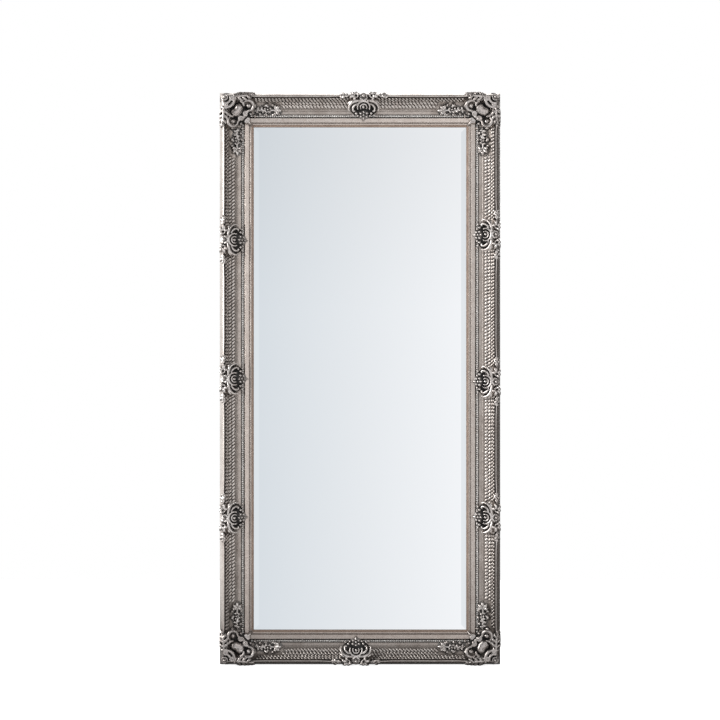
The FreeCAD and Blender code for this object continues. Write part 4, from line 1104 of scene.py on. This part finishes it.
@dataclass
class Ornaments:
    """The cast ornaments: cartouches, corners and flower sprays."""

    plan: Plan
    finishes: dict[str, Any]
    rail: RailSection
    voxel_mm: float = 1.0
    pearl: float = 4.3

    def eyelet(self, clay: Clay, u: float, w: float) -> None:
        """A ring at the crown's level, with a pearl in it that is the cast's highest point."""
        level = self.rail.crown[1] - clay.ground(u, w)
        clay.hoop(u, w, level, 8.2, 2.7)
        clay.ball(u, w, level - 5.0, (7.5, 7.5, 7.0))
        clay.ball(u, w, clay.highest - clay.ground(u, w) - self.pearl, self.pearl)

    def cartouche(self) -> Any:
        """The cartouche: eyelet, curls, rim leaves, nested shell, ribs and an inner cluster."""
        clay = Clay(lambda u, w: shield(w))
        clay.ball(0, 40, -25, (42, 29, 13))
        clay.ball(0, 62, -17, (22, 15, 9))
        self.eyelet(clay, 0.5, 13.5)
        clay.roll([(-11, 17, 2.0, 2.0), (-5, 22.5, 3.6, 3.2), (0.5, 27, 3.8, 3.6),
                   (6, 22.5, 3.6, 3.2), (12, 17, 2.0, 2.0)], 5)
        clay.ball(1, 44, 3.6, (4.0, 4.4, 5.0))
        for reach, wire, half in ((8.6, 2.5, 125), (16.4, 3.2, 112)):
            arc = []
            for step in range(11):
                angle = math.radians(-half + 2 * half * step / 10)
                arc.append((0.5 + 1.08 * reach * math.sin(angle), 44.5 - reach * math.cos(angle),
                            4.0, wire * (0.7 + 0.3 * math.cos(angle))))
            clay.roll(arc, 4, 7.0)
        for side in (-1, 1):
            clay.fold = lambda u, w, s=side: (s * u, w)
            clay.hoop(22, 12.5, 3.6, 4.6, 2.2)
            for turn, reach in ((-2.35, 12.5), (-1.5, 14.0), (-0.6, 18.5), (0.35, 19.5),
                                (1.25, 15.0)):
                clay.roll([(22 + 4.6 * math.cos(turn), 12.5 + 4.6 * math.sin(turn), 4.4, 2.8),
                           (22 + 0.62 * reach * math.cos(turn - 0.15),
                            12.5 + 0.62 * reach * math.sin(turn - 0.15), 7.4, 4.1),
                           (22 + reach * math.cos(turn), 12.5 + reach * math.sin(turn), 1.5,
                            2.2)], 4)
            clay.frond([(43, 12, -1, 5), (51, 10.5, 0.5, 11.0), (60, 11, -1, 8.0),
                        (70, 14, -3, 3.0)], 3, 0.95, 3.6)
            clay.roll([(10, 25.5, 4.0, 2.6), (20, 27.5, 5.8, 4.0), (31, 30.5, 5.2, 4.4),
                       (40, 38, 3.0, 3.9), (43.5, 48, 1.4, 3.1), (41, 55, 1.6, 2.0)], 6, 8.0)
            clay.roll([(27, 26, 4.0, 1.6), (37, 28, 3.4, 3.0), (46, 34, 0.6, 1.6)], 5, 6.0)
            clay.roll([(18, 34, 3.0, 2.0), (26, 39, 4.8, 3.2), (31.5, 47, 3.2, 3.4),
                       (30, 55, 2.6, 2.6), (25.5, 54, 3.4, 2.0)], 6, 7.0)
            clay.ball(36.5, 36, -2.0, 3.0)
            for u, w, lift, size in ((21.5, 60.5, 2.4, 3.8), (9, 60.5, 3.0, 3.7),
                                     (30, 65, 0.4, 3.2), (17.5, 67, 1.4, 3.4),
                                     (8, 68.5, 1.4, 3.4)):
                clay.ball(u, w, lift, size)
                clay.ball(u, w, lift - 5, size * 0.9)
            clay.ball(38, 67, -1.5, 2.8)
        clay.fold = lambda u, w: (u, w)
        clay.ball(0.5, 57, 3.2, (3.2, 3.6, 4.6))
        clay.ball(0.5, 65, 2.0, (3.4, 3.4, 4.6))
        clay.roll([(0.5, 71, 1.0, 3.0), (1, 76, -0.4, 3.0), (1, 80.5, -3.0, 1.2)], 5)
        return clay.cast("cartouche", self.voxel_mm, False)

    def corner(self) -> Any:
        """The corner: eyelet, nested scrolls, smooth bulb, cup lobes and two rim leaves."""
        def ground(u: float, w: float) -> float:
            u, w = max(u, 1.0), max(w, 1.0)
            return shield((u ** -4 + w ** -4) ** -0.25)

        clay = Clay(ground)
        clay.ball(50, 50, -26, (44, 44, 12))
        clay.ball(20, 20, -18, (20, 20, 9))
        self.eyelet(clay, 16, 16)
        for reach, wire, half in ((18.5, 4.2, 58), (30.5, 5.0, 44)):
            arc = []
            for step in range(9):
                angle = math.radians(45 - half + 2 * half * step / 8)
                arc.append((16 + reach * math.cos(angle), 16 + reach * math.sin(angle), 3.6,
                            wire * (0.35 + 0.65 * math.sin(math.pi * step / 8))))
            clay.roll(arc, 4, 7.0)
        clay.ball(47, 56, 0.0, (14.5, 12.5, 9.0))
        clay.ball(59, 47, -0.5, (12.5, 14.5, 10.0))
        clay.ball(54, 53, 0.5, (14.0, 13.0, 9.0))
        clay.roll([(58, 38, 5.0, 2.0), (66, 44, 6.6, 3.4), (66, 53, 6.4, 3.0),
                   (60, 59, 6.0, 2.0)], 5, 5.0)
        folds: tuple[Fold, ...] = (lambda u, w: (u, w), lambda u, w: (w, u))
        for fold in folds:
            clay.fold = fold
            clay.volute(38, 21, 3.0, 7.4, 0.55, 1.1, 3.0)
            clay.frond([(40, 15, 1, 8), (54, 13.5, 4.0, 17), (70, 13, 4.0, 16),
                        (86, 10, 1.5, 11), (102, 4, -2.5, 3.2)], 5, 1.05, 4.6)
            clay.roll([(74, 30, 3, 2.6), (83, 26, 4.0, 4.0), (94, 29, 3.2, 4.8),
                       (99, 39, 2.4, 4.8), (94, 50, 2.6, 4.2), (83, 54, 3.2, 3.2)], 6, 8.0)
            clay.ball(85, 40, 0.6, (6.6, 7.6, 7.0))
            clay.roll([(61, 28, 3, 2.4), (69, 32, 5.0, 3.8), (72, 41, 5.0, 3.0)], 5, 7.0)
            clay.volute(76, 63, 3.0, 8.0, 0.9, -1.2, 3.4)
            clay.ball(90, 62, -0.4, 4.0)
            clay.volute(83, 78, 0.6, 6.2, 0.4, 1.1, 2.8)
        clay.fold = folds[0]
        clay.ball(71, 71, 3.4, 4.6)
        clay.roll([(80, 80, 1.5, 2.8), (87, 87, 0.4, 4.2), (94, 94, -3, 1.6)], 5)
        return clay.cast("corner", self.voxel_mm, True)

    def bed(self, w: float) -> float:
        """Height of the rail's own face under a spray."""
        row = [(p[0], p[1]) for p in self.rail.outline(0.0) if p[2] != BARE]
        return float(np.interp(w, [p[0] for p in row], [p[1] for p in row]))

    def spray(self) -> Any:
        """The spray: a stem of flowers, buds and pointed leaves in the cove."""
        clay = Clay(lambda u, w: self.bed(w) + 8.0)
        clay.mat([(98, 52, 10), (106, 51, 15), (113, 51, 12), (122, 50, 16), (131, 51, 13),
                  (142, 50, 15), (151, 51, 11), (160, 51, 14), (170, 51, 12), (180, 52, 5)], -7.3)
        clay.roll([(101, 51, -3.0, 2.6), (118, 49, -1.4, 2.8), (138, 53, -1.6, 2.6),
                   (152, 50, -2.0, 2.4), (165, 52, -2.6, 2.0)], 7, 6.0)
        for u, w, petal, turn, lift in ((116, 51.5, 7.2, 0.3, 2.6), (139, 48.5, 6.8, 0.9, 2.2)):
            clay.flower(u, w, lift, petal, turn)
        for angle, reach in ((-84, 16.0), (-42, 20.0), (0, 23.0), (42, 18.5), (84, 14.0)):
            clay.petal(159, 51, math.radians(angle), 3.0, reach, 4.3, 3.0)
        for u, w, angle, reach, half in (
                (127, 40, -25, 14, 3.6), (128, 61, 20, 12, 3.4), (104, 43, -110, 12, 3.8),
                (103, 60, 100, 12, 3.6), (149, 60, 30, 10, 3.0), (150, 41, -60, 10, 3.2)):
            clay.petal(u, w, math.radians(angle), 0.0, reach, half, 2.0)
        return clay.cast("spray", self.voxel_mm * 0.8, False)

    def copy(self, master: Any, role: str, name: str, matrix: Matrix,
             turned: bool = False) -> None:
        """Seat a copy of a cast in the place of its node.

        Args:
            master: the cast's mesh, in millimetres.
            role: which finish it has.
            name: the CAD node that it stands for.
            matrix: the place of the node's own frame.
            turned: whether the copy is mirrored in the corner's diagonal.
        """
        mesh = master.copy()
        if turned:
            mesh.transform(Matrix(((0, 1, 0, 0), (1, 0, 0, 0), (0, 0, 1, 0), (0, 0, 0, 1))))
            mesh.flip_normals()
        mesh.transform(matrix)
        mesh.materials.clear()
        mesh.materials.append(self.finishes[role])
        seat(name + "_cast", mesh, [name], "ornament")

    def build(self) -> None:
        """Cast the ornaments and seat a copy at each of their places."""
        cartouche, corner, spray = self.cartouche(), self.corner(), self.spray()
        for side in Side:
            for node, u in self.plan.cartouches(side).items():
                self.copy(cartouche, "ornament", node, self.plan.rail(side, u))
        for place in Corner:
            label = place.name.lower()
            matrix = self.plan.corner(place)
            self.copy(corner, "corner", f"corner_{label}", matrix)
            for side, turned in ((place.first, False), (place.second, True)):
                self.copy(spray, "ornament", f"spray_{label}_on_{side.label}", matrix, turned)
        for master in (cartouche, corner, spray):
            bpy.data.meshes.remove(master)


# --- glass and back ----------------------------------------------------------------------------

@dataclass
class GlassAndBack:
    """The carried-over nodes: mirror plate, board, blades, braces, hangers, screws and pads."""

    finishes: dict[str, Any]

    def role(self, node: str) -> str:
        """Which finish a node has; all but three are zinc-plated steel."""
        return {"mirror_glass": "glass", "backing_board": "board",
                "wall_bumpers": "felt"}.get(node, "zinc")

    def build(self) -> None:
        """Dress each node that is still shown."""
        for name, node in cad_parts.items():
            if not node.hide_render:
                finish = self.finishes[self.role(name)]
                node.data.materials.clear()
                node.data.materials.append(finish)
                LOG.info("%s: dressed with %s", name, finish.name)


# --- studio ------------------------------------------------------------------------------------

@dataclass
class Studio:
    """Pale floor, soft lights, reflected walls and the camera of the photograph's view."""

    camera_distance: float = 4.2
    camera_height: float = 0.8787
    lens_mm: float = 72.7
    floor_half: float = 9.0
    floor_back: float = 1.6
    ambient: str = "#6e7073"
    card_half: float = 1.6
    card: tuple = ((0.0, "#7d7d7e"), (0.1, "#a2a6ab"), (0.17, "#e9edf1"), (0.345, "#e1e5ea"),
                   (0.5, "#f0f1f4"), (0.66, "#fefdff"), (0.8, "#eceef1"), (0.87, "#a5a8ac"),
                   (1.0, "#7d7d7e"))
    dark: tuple = ((0.0, "#454240"), (1.0, "#454240"))
    grey: tuple = ((0.0, "#a09e9c"), (1.0, "#a09e9c"))
    room: tuple = (2.4, 2.6, -1.5, 3.2)

    def panel(self, name: str, corners: Sequence[Point], material: Any) -> None:
        """A flat stage panel that only glossy rays see, as a studio wall in a reflection."""
        panel = new_object(name, corners, [(0, 1, 2, 3)])
        panel.data.materials.append(material)
        panel.visible_camera = False
        panel.visible_diffuse = False
        panel.visible_shadow = False
        panel.visible_transmission = False

    def glow(self, name: str, stops: Sequence[tuple[float, str]]) -> Any:
        """A lit wall whose colour changes across the card's width and dims a little upwards."""
        material = bpy.data.materials.new(name)
        material.use_nodes = True
        tree = material.node_tree
        tree.nodes.clear()
        where = add(tree, "ShaderNodeTexCoord", {}, {}, "Object")
        across, height = (add(tree, "ShaderNodeSeparateXYZ", {}, {0: where}, axis)
                          for axis in ("X", "Z"))
        share = add(tree, RANGE, {}, {0: across, 1: -self.card_half, 2: self.card_half})
        ramp = add(tree, "ShaderNodeValToRGB", {}, {0: share}, "Color")
        elements = ramp.node.color_ramp.elements
        while len(elements) < len(stops):
            elements.new(0.5)
        for element, (place, colour) in zip(elements, stops):
            element.position = place
            element.color = linear(colour)
        shine = add(tree, "ShaderNodeEmission", {}, {
            "Color": ramp, "Strength": add(tree, RANGE, {}, {0: height, 1: 1.1, 2: 1.9, 3: 1.0,
                                                             4: 0.93})})
        add(tree, "ShaderNodeOutputMaterial", {}, {"Surface": shine})
        return material

    def lamp(self, name: str, place: Point, aim_height: float, size: Point,
             watts: float) -> None:
        """A soft white rectangular lamp, aimed at the frame's middle line."""
        data = bpy.data.lights.new(name, "AREA")
        data.shape = "RECTANGLE"
        data.size, data.size_y = size
        data.energy = watts
        lamp = shown(name, data)
        lamp.location = place
        way = Vector((0.0, 0.0, aim_height)) - Vector(place)
        lamp.rotation_euler = way.to_track_quat("-Z", "Y").to_euler()

    def world(self) -> None:
        """White for the camera, glossy and transmission rays, a softer grey as light."""
        world = bpy.data.worlds.new("studio")
        world.use_nodes = True
        tree = world.node_tree
        tree.nodes.clear()
        path = tree.nodes.new("ShaderNodeLightPath").outputs
        seen = path["Is Camera Ray"]
        for ray in ("Is Glossy Ray", "Is Transmission Ray"):
            seen = add(tree, MATH, {"operation": "MAXIMUM"}, {0: seen, 1: path[ray]})
        colour = add(tree, MIX, COLOURS, {"Factor": seen, "A": linear(self.ambient),
                                          "B": linear("#ffffff")}, "Result")
        light = add(tree, "ShaderNodeBackground", {}, {"Color": colour, "Strength": 1.0})
        add(tree, "ShaderNodeOutputWorld", {}, {"Surface": light})
        bpy.context.scene.world = world

    def floor(self) -> None:
        """A pale floor that keeps the mirror's shadow and is white to the camera."""
        half, back = self.floor_half, self.floor_back
        floor = new_object("floor", [(-half, -half, 0), (half, -half, 0), (half, back, 0),
                                     (-half, back, 0)], [(0, 1, 2, 3)])
        floor.visible_glossy = False
        material, tree, shader = new_material("pale_floor")
        path = add(tree, "ShaderNodeLightPath", {}, {}, "Is Camera Ray")
        wire(tree, shader, {"Base Color": linear("#f4f4f4"), "Roughness": 0.9,
                            "Emission Color": linear("#ffffff"),
                            "Emission Strength": add(tree, RANGE, {}, {0: path, 4: 0.75})})
        floor.data.materials.append(material)

    def build(self) -> None:
        """Set up the studio."""
        scene = bpy.context.scene
        scene.view_settings.view_transform = "Standard"
        self.world()
        self.floor()
        card = self.glow("wall_in_the_glass", self.card)
        dark = self.glow("dark_wall", self.dark)
        grey = self.glow("grey_wall", self.grey)
        x, y, low, high = self.room
        for name, material, corners in (
                ("wall_behind_camera", card,
                 [(-x, -y, low), (x, -y, low), (x, -y, high), (-x, -y, high)]),
                ("dark_ceiling", dark,
                 [(-x, -y, high), (x, -y, high), (x, 0.2, high), (-x, 0.2, high)]),
                ("dark_wall_right", dark,
                 [(x, -1.5, low), (x, 3.5, low), (x, 3.5, high), (x, -1.5, high)]),
                ("grey_wall_left", grey,
                 [(-x, -y, low), (-x, -1.5, low), (-x, -1.5, high), (-x, -y, high)]),
                ("dark_floor_cloth", dark,
                 [(-2.5, -0.5, -0.45), (2.5, -0.5, -0.45), (2.5, 3.5, -0.45),
                  (-2.5, 3.5, -0.45)])):
            self.panel(name, corners, material)
        self.lamp("key_left", (-3.6, -1.3, 2.2), 0.85, (2.4, 3.0), 115)
        self.lamp("fill_front", (1.6, -3.4, 2.4), 0.8, (2.4, 2.4), 70)
        self.lamp("fill_back", (1.4, 3.2, 2.8), 0.8, (4.0, 3.0), 85)
        data = bpy.data.cameras.new("camera")
        data.lens = self.lens_mm
        data.sensor_width = 36.0
        camera = shown("camera", data)
        camera.location = (0.0, -self.camera_distance, self.camera_height)
        camera.rotation_euler = (math.radians(90), 0.0, 0.0)
        scene.camera = camera


def main() -> None:
    """Dress the mirror and set up its studio."""
    logging.basicConfig(level=logging.INFO, format="%(name)s: %(message)s")
    plan = Plan.from_frame()
    finishes = {role: finish.make() for role, finish in FINISHES.items()}
    mouldings = Mouldings(plan, finishes)
    mouldings.build()
    Ornaments(plan, finishes, mouldings.rail).build()
    GlassAndBack(finishes).build()
    Studio().build()


if __name__ == "__main__":
    main()
